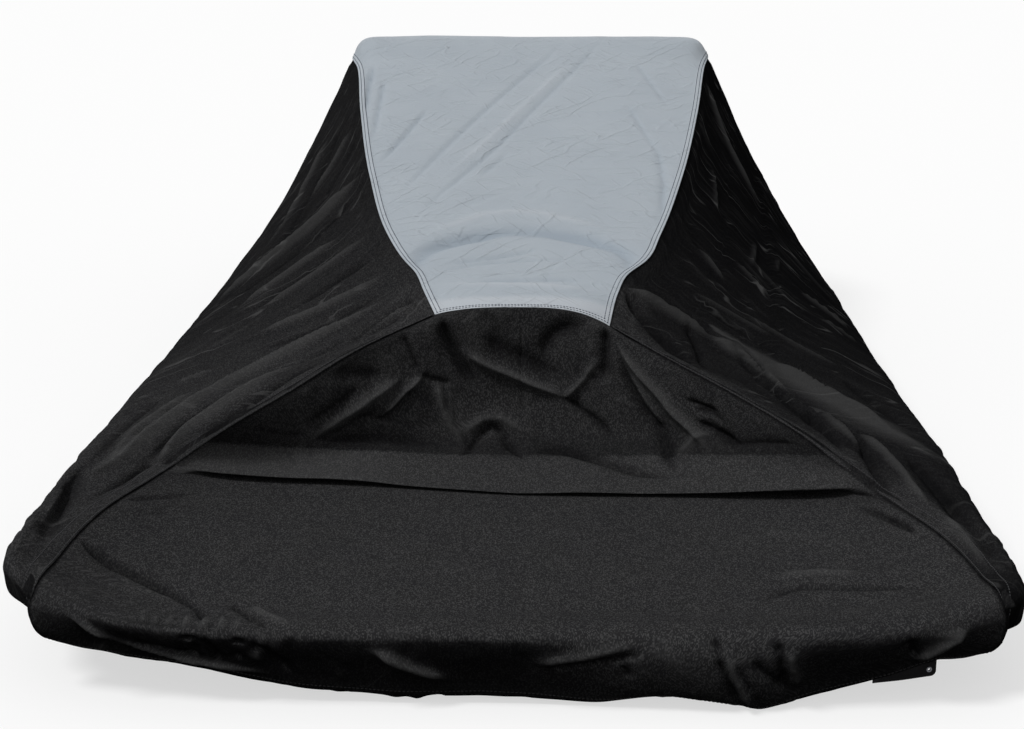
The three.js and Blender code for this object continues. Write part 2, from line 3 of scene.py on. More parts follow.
import bmesh
import bpy
import numpy as np
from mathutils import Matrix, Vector

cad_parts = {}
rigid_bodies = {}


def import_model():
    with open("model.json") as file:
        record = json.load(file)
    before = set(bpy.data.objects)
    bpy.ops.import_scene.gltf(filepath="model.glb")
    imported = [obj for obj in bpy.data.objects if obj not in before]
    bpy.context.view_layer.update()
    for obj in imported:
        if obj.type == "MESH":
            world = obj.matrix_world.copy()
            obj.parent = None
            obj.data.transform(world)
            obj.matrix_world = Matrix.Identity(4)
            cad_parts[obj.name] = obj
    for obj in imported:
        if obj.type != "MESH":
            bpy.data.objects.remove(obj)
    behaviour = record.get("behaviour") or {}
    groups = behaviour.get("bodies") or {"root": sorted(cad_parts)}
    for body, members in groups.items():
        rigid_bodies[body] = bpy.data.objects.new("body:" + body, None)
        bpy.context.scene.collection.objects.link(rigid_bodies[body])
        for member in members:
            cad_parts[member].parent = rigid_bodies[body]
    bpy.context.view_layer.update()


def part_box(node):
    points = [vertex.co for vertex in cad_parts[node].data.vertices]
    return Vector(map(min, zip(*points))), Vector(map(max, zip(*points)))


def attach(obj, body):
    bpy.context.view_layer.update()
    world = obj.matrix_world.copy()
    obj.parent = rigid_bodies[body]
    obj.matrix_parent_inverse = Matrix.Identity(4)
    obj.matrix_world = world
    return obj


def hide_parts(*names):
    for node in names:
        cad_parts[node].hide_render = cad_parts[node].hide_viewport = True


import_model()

# ======== Top panel ========
# The pale panel over seat and handlebars: one cut of coated woven polyester that lies on the black
# panels, its edge turned under 12 mm and topstitched in two rows. Sizes are in millimetres: x to
# the right, y forward from the stern edge, z up from the rear deck.
part_origin = np.array([0.0, 2120.0, 529.1])

# forward, left and right half, crown, left and right edge, and how flat the crown is
top_sections = np.array([
    (748, 131, 136, 238, 226, 209, 3),
    (840, 155, 152, 252, 244, 240, 3),
    (893, 170, 168, 263, 259, 257, 3),
    (945, 194, 202, 275, 271, 271, 4),
    (1050, 229, 230, 300, 293, 293, 4),
    (1300, 281, 282, 356, 350, 350, 4),
    (1650, 331, 335, 431, 424, 424, 5),
    (1960, 367, 371, 497, 476, 478, 9),
    (2120, 393, 391, 530, 480, 486, 30),
    (2260, 374, 374, 484, 436, 438, 9),
    (2600, 288, 288, 342, 308, 308, 4),
    (2950, 170, 170, 214, 190, 190, 3),
    (3110, 118, 118, 154, 138, 138, 3),
    (3185, 88, 88, 104, 96, 96, 2),
], float)
bars = 8  # the section at the handlebars
hem_steps = [(4, 0.14), (5, 0.5), (-1, 0.93), (-16, 1.0), (-27, 0.72)]  # out, and share of the drop
bow_drop = 110  # from the bow's edge down to its hem
bow_turn = np.pi / 5  # how far the bow's corners face sideways
edge_rows = np.array([0, 0.8, 2.5, 4.5, 6.5, 9, 11, 12.5, 14.5, 18, 23])  # beside a sewn edge
row_gaps = (5.0, 8.5)  # between the other rows of points, behind the bars and forward of them
top_columns = 130  # points across between its edges
far_in = 60  # all that lies further from an edge counts as this far
top_outward = (0, -0.3, 1)
turned_edge = 12.0
edge_proud = 0.9  # how far its three layers stand above the rest
turned_in = 8.0  # how much cloth is built under the edge
pale_rows_of_stitches = (4.5, 11.0)  # from the edge
full_crease = 14.0  # a crease this high or deep has the whole painted highlight or painted shade

# Creases, seen from above: how high each stands, below zero for a valley, how wide it is, and the
# places (x, y) that it runs through.
top_creases = [
    (-4, 5, (180, 2150), (15, 1650), (-60, 1410), (-140, 1220), (-235, 1010)),  # across to the left
    (2.5, 8, (95, 1965), (-15, 1640), (-125, 1320), (-180, 1215)),
    (-4, 6, (90, 2110), (-60, 1710), (-150, 1440), (-265, 1110)),
    (-5, 5, (-195, 1665), (-245, 1440), (-275, 1330)),
    (-7, 5, (-335, 1970), (-325, 1710), (-315, 1590)),  # along the left edge
    (-5, 5, (-300, 1870), (-290, 1460)),
    (-8, 18, (-250, 900), (-170, 985), (-50, 1050), (40, 1050), (170, 985), (250, 900)),
    (-6, 14, (-20, 1050), (-120, 1012), (-172, 950), (-185, 880)),  # and its two ends
    (-6, 14, (20, 1050), (125, 1012), (178, 950), (185, 880)),
    (3, 14, (-170, 1030), (-60, 1120), (30, 1120), (170, 1040)),  # the roll over that hollow
    (-4, 5, (-135, 920), (-25, 950), (45, 985)),  # across the seat
    (-3, 5, (-150, 895), (-40, 930), (95, 935)),
    (-4, 5, (-110, 845), (-20, 860), (120, 870)),
    (4, 9, (-135, 850), (10, 840), (140, 830)),
    (-4, 7, (245, 1470), (245, 1190), (220, 1040)),  # along the right edge
    (-3, 4, (220, 1960), (280, 1640)),
    (-3, 4, (190, 1700), (250, 1370)),
    (-3, 5, (-30, 1410), (-85, 1275)),
]


def smooth(x):
    x = np.clip(x, 0, 1)
    return x * x * (3 - 2 * x)


def unit(vectors):
    return vectors / np.maximum(np.linalg.norm(vectors, axis=-1, keepdims=True), 1e-9)


def between(before, leaving, after, arriving, s):
    """A smooth curve from one value to the next, with its slope at both, a share s of the way."""
    return (before * (2 * s**3 - 3 * s**2 + 1) + leaving * (s**3 - 2 * s**2 + s)
            + after * (3 * s**2 - 2 * s**3) + arriving * (s**3 - s**2))


def drape(stations, at):
    """Smooth cloth through stations (k, m, 3), read at fractional stations (n,) or (n, m)."""
    at = np.asarray(at, float)
    if at.ndim == 1:
        at = np.repeat(at[:, None], stations.shape[1], 1)
    step = np.diff(stations, axis=0)
    length = np.maximum(np.linalg.norm(step, axis=2, keepdims=True), 1e-3)
    slope = step / length
    inner = (slope[:-1] * length[1:] + slope[1:] * length[:-1]) / (length[:-1] + length[1:])
    lean = np.concatenate([slope[:1], inner, slope[-1:]])
    i = np.clip(np.floor(at).astype(int), 0, len(stations) - 2)
    s = (at - i)[..., None]
    column = np.arange(stations.shape[1])[None, :]
    reach = length[i, column]
    return between(stations[i, column], reach * lean[i, column],
                   stations[i + 1, column], reach * lean[i + 1, column], s)


def run_down(path):
    """Distance covered down each column of a grid of points."""
    steps = np.linalg.norm(np.diff(path, axis=0), axis=-1)
    return np.concatenate([np.zeros((1,) + steps.shape[1:]), np.cumsum(steps, axis=0)])


def read_at(wanted, run, line):
    """Places on a line of points, at the wanted distances along it."""
    return np.stack([np.interp(wanted, run, part) for part in line.T], -1)


def across(curve, count):
    """A row of cloth: points close together at both edges and even between, on curve(place)."""
    dense = np.linspace(-1, 1, 801)
    run = run_down(curve(dense))
    first, last = edge_rows[-1], run[-1] - edge_rows[-1]
    wanted = np.concatenate([edge_rows, np.linspace(first, last, count)[1:-1],
                             run[-1] - edge_rows[::-1]])
    return curve(np.interp(wanted, run, dense))


def facing(grid, outward):
    """Unit normals of a grid of points, on the side that faces outward."""
    normal = unit(np.cross(np.gradient(grid, axis=0), np.gradient(grid, axis=1)))
    return normal if (normal @ np.array(outward, float)).mean() > 0 else -normal


def laid_on(cloth, creases, seen):
    """Creases whose places are laid on the nearest cloth, seen along the axis left out."""
    return [(height, width, *(cloth[np.argmin(((cloth[:, seen] - place) ** 2).sum(1))]
                              for place in places))
            for height, width, *places in creases]


def creased(points, normals, creases):
    """How far the creases lift or sink each point along its normal."""
    lift = np.zeros(len(points))
    for height, width, *line in creases:
        line = np.array(line, float)
        for _ in range(2 if len(line) > 3 else 1):  # corners are cut off until they are round
            halves = np.stack([0.75 * line[:-1] + 0.25 * line[1:],
                               0.25 * line[:-1] + 0.75 * line[1:]], 1).reshape(-1, 3)
            line = np.concatenate([line[:1], halves[1:-1], line[-1:]])
        reach = 3.0 * width + 14  # beyond it the crease has died away
        near = np.flatnonzero(np.all((points > line.min(0) - reach)
                                     & (points < line.max(0) + reach), axis=1))
        if not len(near):
            continue
        here, normal = points[near], normals[near]
        run = run_down(line)
        best, along = np.full(len(near), 1e9), np.zeros(len(near))
        for i in range(len(line) - 1):
            step = line[i + 1] - line[i]
            share = np.clip((here - line[i]) @ step / (step @ step), 0, 1)
            off = here - line[i] - share[:, None] * step
            off -= (off * normal).sum(1, keepdims=True) * normal
            away = np.linalg.norm(off, axis=1)
            closer = away < best
            best = np.where(closer, away, best)
            along = np.where(closer, (run[i] + share * (run[i + 1] - run[i])) / run[-1], along)
        fade = smooth(along / 0.24) * smooth((1 - along) / 0.3)  # towards both ends
        spread = width * (0.45 + 0.55 * fade)  # and it narrows
        sharpness = 1.1 + width / 30  # a narrow crease has a sharp ridge, a wide one a round back
        lift[near] += height * fade * np.exp(-(best / spread) ** sharpness)
    return lift


def chance_creases(seed, number, places, pull, spread, length, width, height):
    """Small creases at random places, each along the pull give or take a spread in radians.
    Length, width and height each have a least and a most."""
    chance = np.random.default_rng(seed)
    pull = unit(np.array(pull, float))
    found = []
    for _ in range(number):
        at = places[chance.integers(len(places))]
        aside = unit(np.cross(pull, chance.normal(size=3)))
        turn = chance.uniform(-spread, spread)
        way = np.cos(turn) * pull + np.sin(turn) * aside
        half = chance.uniform(*length) / 2
        bent = unit(np.cross(way, chance.normal(size=3))) * half * chance.uniform(0, 0.22)
        tall = chance.uniform(*height) * chance.choice((-1, 1))
        found.append((tall, chance.uniform(*width), at - half * way, at + bent, at + half * way))
    return found


def ridges(folds, kept):
    """Painted crease light: 0.5 on flat cloth, 1 (painted highlight) on a high ridge, 0 (painted
    shade) in a deep valley.
    """
    return 0.5 + np.clip(folds * kept / full_crease, -0.5, 0.5)


def rumple(points, size, seed):
    """Smooth random heights from -1 to 1 that change over about size millimetres."""
    table = np.random.default_rng(seed).uniform(-1, 1, 8192)
    cell = points / size
    corner = np.floor(cell).astype(np.int64)
    x_share, y_share, z_share = smooth(cell - corner).T
    total = np.zeros(len(points))
    for dx, dy, dz in np.ndindex(2, 2, 2):  # the eight corners of each point's cell
        x, y, z = (corner + (dx, dy, dz)).T
        value = table[(x * 73856093 ^ y * 19349663 ^ z * 83492791) % len(table)]  # large primes
        weight = ((x_share if dx else 1 - x_share) * (y_share if dy else 1 - y_share)
                  * (z_share if dz else 1 - z_share))
        total += value * weight
    return total


def drawn_out(points, direction, times):
    """Points squeezed along a direction, so that rumples on them are drawn out along it."""
    direction = unit(np.array(direction, float))
    return points - (1 - 1 / times) * (points @ direction)[:, None] * direction


def fold_edge(grid, normal, depth):
    """Adds two columns before the first: the rounded edge, and the cloth turned in under it."""
    inward = unit(grid[:, 3] - grid[:, 0])
    under = grid[:, 0] + depth * inward - 1.7 * normal[:, 0]  # 1.7 mm below the upper layer
    edge = grid[:, 0] - 0.2 * inward - 0.9 * normal[:, 0]  # halfway down
    return (np.concatenate([under[:, None], edge[:, None], grid], axis=1),
            np.concatenate([normal[:, :1], normal[:, :1], normal], axis=1))


def put_in_scene(name, data):
    """A new object at the origin, of a mesh, a lamp or a camera."""
    made = bpy.data.objects.new(name, data)
    bpy.context.scene.collection.objects.link(made)
    return made


def keep_amount(mesh, name, values):
    """Keeps a number for each point of a mesh, for its material to read."""
    layer = mesh.attributes.new(name, "FLOAT", "POINT")
    layer.data.foreach_set("value", np.asarray(values, np.float32).ravel())


def lay_flat(mesh, places):
    """Keeps each point's place on the flat cloth, in metres, for its weave to follow."""
    corners = np.empty(len(mesh.loops), int)
    mesh.loops.foreach_get("vertex_index", corners)
    weave = mesh.uv_layers.new(name="weave")
    weave.data.foreach_set("uv", places[corners].astype(np.float32).ravel())


def cloth_piece(name, grid, outward, **amounts):
    """A mesh of the grid in the part's frame, with its weave laid out in metres and its amounts."""
    rows, columns = grid.shape[:2]
    points = ((grid - part_origin) / 1000).reshape(-1, 3)
    index = np.arange(rows * columns).reshape(rows, columns)
    quads = np.stack([index[:-1, :-1], index[1:, :-1], index[1:, 1:], index[:-1, 1:]], -1)
    quads = quads.reshape(-1, 4)
    a, b, c = (points[quads[:, i]] for i in range(3))
    if (np.cross(b - a, c - a) @ np.array(outward, float)).sum() < 0:
        quads = quads[:, ::-1]
    mesh = bpy.data.meshes.new(name)
    mesh.from_pydata(points.tolist(), [], quads.tolist())
    mesh.polygons.foreach_set("use_smooth", np.ones(len(quads), bool))
    u = run_down(grid.transpose(1, 0, 2)).T
    u -= u[:, columns // 2][:, None]
    lay_flat(mesh, np.stack([u, run_down(grid)], -1).reshape(-1, 2) / 1000)
    for amount, values in amounts.items():
        keep_amount(mesh, amount, values)
    return put_in_scene(name, mesh)


def add(tree, kind, inputs={}, output=None, **settings):
    """Adds a node with its settings. An input is a value or the socket that feeds it; with an
    output named, it gives that socket, and otherwise the node."""
    made = tree.nodes.new(kind)
    for setting, value in settings.items():
        setattr(made, setting, value)
    for name, value in inputs.items():
        if isinstance(value, bpy.types.NodeSocket):
            tree.links.new(value, made.inputs[name])
        else:
            made.inputs[name].default_value = value
    return made if output is None else made.outputs[output]


def linear(code):
    """Linear colour of an sRGB hex value."""
    parts = [int(code[i:i + 2], 16) / 255 for i in (1, 3, 5)]
    return tuple(p / 12.92 if p <= 0.04045 else ((p + 0.055) / 1.055) ** 2.4 for p in parts) + (1,)


def new_material(name):
    material = bpy.data.materials.new(name)
    material.use_nodes = True
    tree = material.node_tree
    tree.nodes.clear()
    return material, tree


def plain_weave(tree, pitch):
    """The cloth's flat layout in metres, and the height of its threads, crossed over and under."""
    layout = add(tree, "ShaderNodeUVMap", {}, "UV", uv_map="weave")
    wander = add(tree, "ShaderNodeTexNoise", {"Vector": layout, "Scale": 90.0}, "Color")
    moved = add(tree, "ShaderNodeMix", {0: 0.0006, 4: layout, 5: wander}, 1, data_type="VECTOR")
    parts = add(tree, "ShaderNodeSeparateXYZ", {"Vector": moved})
    turns = 2 * np.pi / pitch
    waves = []
    for direction in ("X", "Y"):
        angle = add(tree, "ShaderNodeMath", {0: parts.outputs[direction], 1: turns}, 0,
                    operation="MULTIPLY")
        waves.append(add(tree, "ShaderNodeMath", {0: angle}, 0, operation="SINE"))
    return layout, add(tree, "ShaderNodeMath", {0: waves[0], 1: waves[1]}, 0, operation="MULTIPLY")


def short_creases(tree, layout, size, drawn, turn, fineness, seen):
    """Height, 0 to 1, of short creases about size metres apart, drawn out along a turn. They stand
    where a smooth pattern crosses its middle value, and show in more patches where seen is high."""
    wander = add(tree, "ShaderNodeTexNoise", {"Vector": layout, "Scale": 0.4 / size}, "Color")
    bent = add(tree, "ShaderNodeMix", {0: 0.5 * size, 4: layout, 5: wander}, 1, data_type="VECTOR")
    placed = add(tree, "ShaderNodeMapping", {"Vector": bent, "Rotation": (0, 0, turn),
                                             "Scale": (drawn, 1, 1)}, "Vector",
                 vector_type="TEXTURE")
    level = add(tree, "ShaderNodeTexNoise", {"Vector": placed, "Scale": 0.5 / size,
                                             "Detail": 1.0}, "Fac")
    away = add(tree, "ShaderNodeMath", {0: level, 1: 0.5}, 0, operation="SUBTRACT")
    away = add(tree, "ShaderNodeMath", {0: away}, 0, operation="ABSOLUTE")
    crest = add(tree, "ShaderNodeMapRange", {"Value": away, "From Min": 0.0, "From Max": fineness,
                                             "To Min": 1.0, "To Max": 0.0}, "Result",
                interpolation_type="SMOOTHERSTEP")
    patch = add(tree, "ShaderNodeTexNoise", {"Vector": placed, "Scale": 0.62 / size,
                                             "Detail": 1.0, "W": 3.0}, "Fac",
                noise_dimensions="4D")
    shown = add(tree, "ShaderNodeMapRange", {"Value": patch, "From Min": 0.62 - seen,
                                             "From Max": 0.74 - seen}, "Result")
    return add(tree, "ShaderNodeMath", {0: crest, 1: shown}, 0, operation="MULTIPLY")


def tinted(tree, colour, code, amount, start, end, most):
    """The colour moved towards another, from not at all where an amount is start to most at end."""
    share = add(tree, "ShaderNodeMapRange", {"Value": amount, "From Min": start, "From Max": end,
                                             "To Max": most}, "Result")
    return add(tree, "ShaderNodeMix", {0: share, 6: colour, 7: linear(code)}, 2, data_type="RGBA")


def top_row(section):
    """A row of points across the pale panel, at one of its sections."""
    forward, left, right, crown, left_edge, right_edge, flat = section

    def curve(place):
        half = np.where(place < 0, left, right)
        edge = np.where(place < 0, left_edge, right_edge)
        return np.stack([place * half, forward + 0 * place,
                         crown - (crown - edge) * np.abs(place) ** flat], -1)
    return across(curve, top_columns)


top_stations = [top_row(section) for section in top_sections]
bow_edge = top_stations[-1]
facing_out = bow_turn * bow_edge[:, 0] / top_sections[-1, 1]
for out, down in hem_steps:
    top_stations.append(bow_edge + np.stack([out * np.sin(facing_out), out * np.cos(facing_out),
                                             np.full(len(bow_edge), -down * bow_drop)], -1))
top_stations = np.array(top_stations)
middle = top_stations.shape[1] // 2
dense = np.linspace(0, len(top_stations) - 1, 600)
run = run_down(drape(top_stations[:, [middle]], dense))[:, 0]
at_bars = np.interp(bars, dense, run)
wanted = np.concatenate([edge_rows, np.arange(edge_rows[-1] + row_gaps[0], at_bars, row_gaps[0]),
                         np.arange(at_bars, run[-1], row_gaps[1]), run[-1:]])
top_at = np.interp(wanted, run, dense)
top_base = drape(top_stations, top_at)
top_rows = int(np.searchsorted(top_at, len(top_sections) - 1 + 1e-6))  # rows above the bow's hem

columns = top_base.shape[1]
further_in = np.full(columns - 2 * len(edge_rows), far_in)
from_side = np.concatenate([edge_rows, further_in, edge_rows[::-1]])
from_edge = np.minimum(from_side[None, :], np.minimum(wanted, far_in)[:, None])
top_normal = facing(top_base, top_outward)
flat_points, flat_normals = top_base.reshape(-1, 3), top_normal.reshape(-1, 3)
seat_to_bars = flat_points[(flat_points[:, 1] > 800) & (flat_points[:, 1] < 2060)]
small_creases = chance_creases(5, 46, seat_to_bars, (0.62, 0.76, 0.15), 0.7, (60, 190), (5, 9),
                               (0.4, 1.1))
small_creases += chance_creases(6, 26, seat_to_bars, (1, 0.1, 0), 0.5, (50, 150), (5, 8),
                                (0.3, 0.8))
folds = creased(flat_points, flat_normals,
                laid_on(flat_points, top_creases, [0, 1]) + small_creases)
# The cloth is never flat: slow waves, smaller ones, and fine ones drawn out across the seat.
lift = folds + 1.3 * rumple(flat_points, 110, 1) + 0.5 * rumple(flat_points, 38, 2)
lift += 0.3 * rumple(drawn_out(flat_points, (1, 0, 0), 3), 18, 3)
inset = from_edge.reshape(-1)
lift *= smooth(inset / 22)
# Painted highlights on the creases' ridges and painted shade in their valleys, with painted light
# where the seat's end and the bars face up.
crest = ridges(folds, smooth(inset / 16)).reshape(from_edge.shape)
to_sky = np.maximum(smooth((62 - wanted) / 24), 0.5 * smooth((wanted - at_bars + 60) / 60))
crest += 0.35 * to_sky[:, None]  # the seat's end and the bars catch more light
lift += edge_proud * smooth((turned_edge + 1.5 - inset) / 3)
pucker = rumple(flat_points, 13, 4)  # where the stitches gather the cloth
lift += 0.55 * pucker * smooth(inset / 3) * smooth((24 - inset) / 10)
for row in pale_rows_of_stitches:
    lift -= 0.3 * np.exp(-((inset - row) / 1.2) ** 2)  # the thread draws the cloth in
top_grid = top_base + (lift[:, None] * flat_normals).reshape(top_base.shape)
top_normal = facing(top_grid, top_outward)

# The two sides and the seat's end are turned under; the bow's end is the hem.
cloth, normal = fold_edge(top_grid, top_normal, turned_in)
cloth, normal = fold_edge(cloth[:, ::-1], normal[:, ::-1], turned_in)
cloth, normal = fold_edge(cloth.transpose(1, 0, 2), normal.transpose(1, 0, 2), turned_in)
cloth, normal = cloth.transpose(1, 0, 2)[:, ::-1], normal.transpose(1, 0, 2)[:, ::-1]
edge_amount, painted_crease_light_amount = (np.pad(amount, ((2, 0), (2, 2)), mode="edge")
                             for amount in (from_edge, crest))
top_panel = cloth_piece("top_cloth", cloth, top_outward, from_edge=edge_amount,
                        crest=painted_crease_light_amount)

# Woven polyester with a matt coating: an even pale blue-grey, a fine weave that only shows close
# up, small crinkles from being folded, and a lighter band where the edge is three layers thick.
# Its creases have painted highlights on their ridges and painted shade in their valleys.
pale_cloth, tree = new_material("pale_coated_polyester")
layout, threads = plain_weave(tree, 0.0012)  # 0.5 mm threads, drawn wider so that they show
mottle = add(tree, "ShaderNodeTexNoise", {"Vector": layout, "Scale": 7.0, "Detail": 3.0}, "Fac")
colour = add(tree, "ShaderNodeMix", {0: mottle, 6: linear("#9fa8b1"), 7: linear("#acb4bb")}, 2,
             data_type="RGBA")
speck = add(tree, "ShaderNodeTexNoise", {"Vector": layout, "Scale": 480.0, "Detail": 2.0}, "Fac")
speck = add(tree, "ShaderNodeMath", {0: speck, 1: 0.3}, 0, operation="MULTIPLY")
colour = add(tree, "ShaderNodeMix", {0: speck, 6: colour, 7: linear("#858d95")}, 2,
             data_type="RGBA")
edge = add(tree, "ShaderNodeAttribute", {}, "Fac", attribute_name="from_edge")
colour = tinted(tree, colour, "#c3c9ce", edge, turned_edge + 1.0, turned_edge - 0.5, 0.22)
painted_crease_light = add(tree, "ShaderNodeAttribute", {}, "Fac", attribute_name="crest")
colour = tinted(tree, colour, "#7f8d9b", painted_crease_light, 0.48, 0.0, 0.4)  # painted shade in the valleys
colour = tinted(tree, colour, "#c2c5ca", painted_crease_light, 0.53, 1.0, 0.6)  # painted highlight on the ridges
relief = None
for size, drawn, turn, fineness, seen, height in (
        (0.022, 4.0, 0.85, 0.040, 0.16, 0.0012), (0.012, 4.5, -0.9, 0.05, 0.16, 0.0008),
        (0.015, 5.0, 0.12, 0.045, 0.16, 0.0009)):
    fine = short_creases(tree, layout, size, drawn, turn, fineness, seen)
    inputs = {"Height": fine, "Distance": height}
    if relief is not None:
        inputs["Normal"] = relief
    relief = add(tree, "ShaderNodeBump", inputs, "Normal")
relief = add(tree, "ShaderNodeBump", {"Height": threads, "Distance": 0.00012, "Normal": relief},
             "Normal")
surface = add(tree, "ShaderNodeBsdfPrincipled", {
    "Base Color": colour, "Roughness": 0.68, "Specular IOR Level": 0.25, "Normal": relief,
    "Sheen Weight": 0.12, "Sheen Roughness": 0.5,
}, "BSDF")
add(tree, "ShaderNodeOutputMaterial", {"Surface": surface})
top_panel.data.materials.append(pale_cloth)

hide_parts("top_panel")
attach(top_panel, "root")

# ======== Rear panel ========
# The black panel from the back of the seat down over the rear deck and the stern edge: one cut of
# coated woven polyester with a crosswise tuck, whose folded lip hangs over the deck. Its upper edge
# lies under the pale panel and its two sides lie under the side panels, sewn down with them.

# left end, middle and right end of each section, and how late it bends up to its ends
rear_sections = [
    ((-131, 748, 226), (0, 748, 238), (136, 748, 209), 3),
    ((-240, 690, 186), (0, 742, 160), (218, 690, 175), 2),
    ((-341, 622, 136), (0, 735, 86), (322, 618, 134), 2),
    ((-427, 567, 95), (0, 712, 36), (411, 536, 97), 2.4),
    ((-468, 547, 71), (0, 650, 20), (455, 488, 72), 2.8),
    ((-497, 528, 53), (0, 549, 3), (487, 454, 55), 3.2),
    ((-519, 470, 50), (0, 539, 0), (516, 408, 45), 4),
    ((-553, 330, 54), (0, 360, 0), (556, 320, 37), 5),
    ((-571, 160, 51), (0, 130, 2), (580, 160, 37), 6),
    ((-575, 52, 42), (0, 12, 0), (587, 56, 34), 6),
]
lip = 5  # the section at the tuck's lip; the deck starts at the next one
stern_edge = 3  # sections from there to the stern edge
# across, how far the hem hangs below the stern edge, and 0 where it is drawn under, 1 where it
# hangs
stern_hem = np.array([
    (-575, 58, 0.9), (-545, 52, 0.5), (-492, 44, 0), (-373, 42, 0), (-300, 57, 0), (-254, 65, 0),
    (-135, 74, 0.05), (-16, 75, 0), (50, 78, 0.2), (103, 80, 0.5), (178, 70, 0.9),
    (222, 74, 1), (272, 82, 1), (301, 87, 0.8), (358, 73, 0.2), (418, 60, 0.15), (510, 46, 0.25),
    (555, 54, 0.5), (587, 60, 0.9),
], float)
# forward, then half width and height of the gunwale line, left and right
gunwale = np.array([
    (52, 593, 56, 603, 42), (85, 613, 70, 616, 47), (140, 622, 80, 622, 50),
    (300, 634, 79, 624, 57), (600, 636, 76, 625, 63), (1100, 634, 64, 623, 58),
    (1700, 628, 57, 622, 54), (2150, 616, 55, 612, 50), (2500, 545, 60, 545, 58),
    (2800, 430, 72, 430, 72), (3000, 312, 82, 312, 82), (3110, 220, 88, 220, 88),
    (3185, 120, 92, 120, 92),
], float)
# across, how far the tuck's lip stands off the deck, and how far forward of its row it lies
tuck_lip = np.array([
    (-519, 0, -2), (-440, 2, 0), (-340, 3, 4), (-280, 6, 7), (-220, 6, 9), (-170, 3, 11),
    (-60, 2.2, 15), (0, 1.4, 17), (50, 3, 12), (80, 5, 8), (130, 4.5, 4), (180, 2.4, 2),
    (280, 2.6, -3), (340, 5, -7), (400, 6.5, -10), (470, 4, -9), (516, 0, -4),
], float)
drawn_under = [(-1, 0.06), (-5, 0.22), (-12, 0.44), (-19, 0.7), (-25, 1.0), (-28, 0.88)]
hanging = [(4, 0.13), (6, 0.36), (4, 0.62), (-4, 0.86), (-18, 1.0), (-26, 0.88)]
tuck_bow = (40, 15)  # how far the tuck's halves bow forward, left and right
stern_turn = np.pi / 4  # how far the stern's corners face sideways
rear_columns = 262  # points across between its edges
rear_outward = (0, -0.6, 1)

# Creases: how high each stands, below zero for a valley, how wide it is, and its places. Those of
# the seat's back and of the stern's hem are seen from behind (x, z), the deck's from above (x, y).
back_creases = [
    (-15, 9, (-128, 236), (-106, 182), (-88, 146), (-60, 106)),  # the pull from the left corner
    (13, 7, (-98, 180), (-57, 150), (-13, 132), (28, 115), (84, 98)),
    (-9, 17, (-66, 196), (0, 158), (70, 130)),
    (9, 5, (62, 94), (90, 122), (122, 166)),
    (-8, 6, (60, 104), (95, 84), (150, 40)),
    (-13, 7, (137, 224), (130, 172), (126, 120)),  # the pull from the right corner
    (14, 7, (140, 198), (172, 155), (208, 120), (243, 84), (290, 40)),
    (-12, 8, (144, 182), (172, 120), (198, 79), (240, 20)),
    (8, 7, (158, 156), (188, 110), (222, 62)),
    (-10, 13, (32, 155), (42, 192), (61, 206), (105, 216)),  # the round dent
    (-6, 5, (-184, 214), (-166, 171), (-150, 132)),
    (10, 6, (-144, 142), (-184, 106), (-216, 74)),
    (-8, 7, (-158, 122), (-190, 92), (-220, 66)),
    (-7, 4, (-156, 142), (-132, 128), (-100, 122)),  # the knot where four creases meet
    (10, 5, (-130, 134), (-116, 76), (-76, 28)),
    (-11, 5, (-100, 22), (-48, 58), (-34, 53), (18, 20)),  # the low peak at its foot
    (6, 9, (-96, 42), (-44, 74), (12, 44)),
    (-8, 13, (-280, 158), (-240, 150), (-200, 140)),
    (10, 11, (-174, 140), (-245, 98), (-320, 52)),
    (-7, 10, (-235, 135), (-280, 100), (-325, 76)),
    (-5, 4, (-305, 62), (-268, 62), (-236, 84), (-210, 76), (-170, 74)),
    (-4, 4, (-400, 92), (-360, 72), (-310, 62)),
    (-8, 5, (244, 116), (275, 111), (300, 99)),  # the short ones at the right
    (-7, 4, (260, 103), (284, 102), (306, 90)),
    (-12, 6, (264, 89), (287, 77), (330, 62)),
    (9, 7, (230, 32), (266, 60), (298, 84)),
    (-5, 5, (310, 60), (362, 76), (410, 88)),
    (-2.4, 2.6, (1, 236), (1, 170), (1, 110), (1, 40)),  # the pressed line down its middle
    (-10, 11, (-4, 26), (70, 30), (140, 22), (240, 18)),  # its foot, right of the peak
    (-6, 9, (-330, 62), (-250, 52), (-170, 42), (-90, 30)),
]
deck_creases = [
    (-20, 10, (-610, 240), (-530, 214), (-470, 176), (-400, 122)),
    (-13, 5, (-470, 178), (-405, 130), (-372, 75), (-364, 20)),
    (3, 12, (-520, 190), (-460, 150), (-400, 95)),
    (-13, 5, (-350, 136), (-308, 56), (-284, 16)),
    (7, 8, (-326, 118), (-286, 50), (-250, 20)),
    (-7, 8, (300, 140), (350, 200), (420, 192), (495, 178), (525, 140)),  # a soft hollow, right
    (5, 11, (330, 225), (380, 240), (460, 222)),
    (-11, 5, (468, 440), (505, 388), (540, 318)),  # below the lip's right end
    (-5, 5, (-542, 372), (-480, 455), (-446, 490)),  # beside the left seam
    (-3, 5, (-520, 350), (-470, 410)),
]
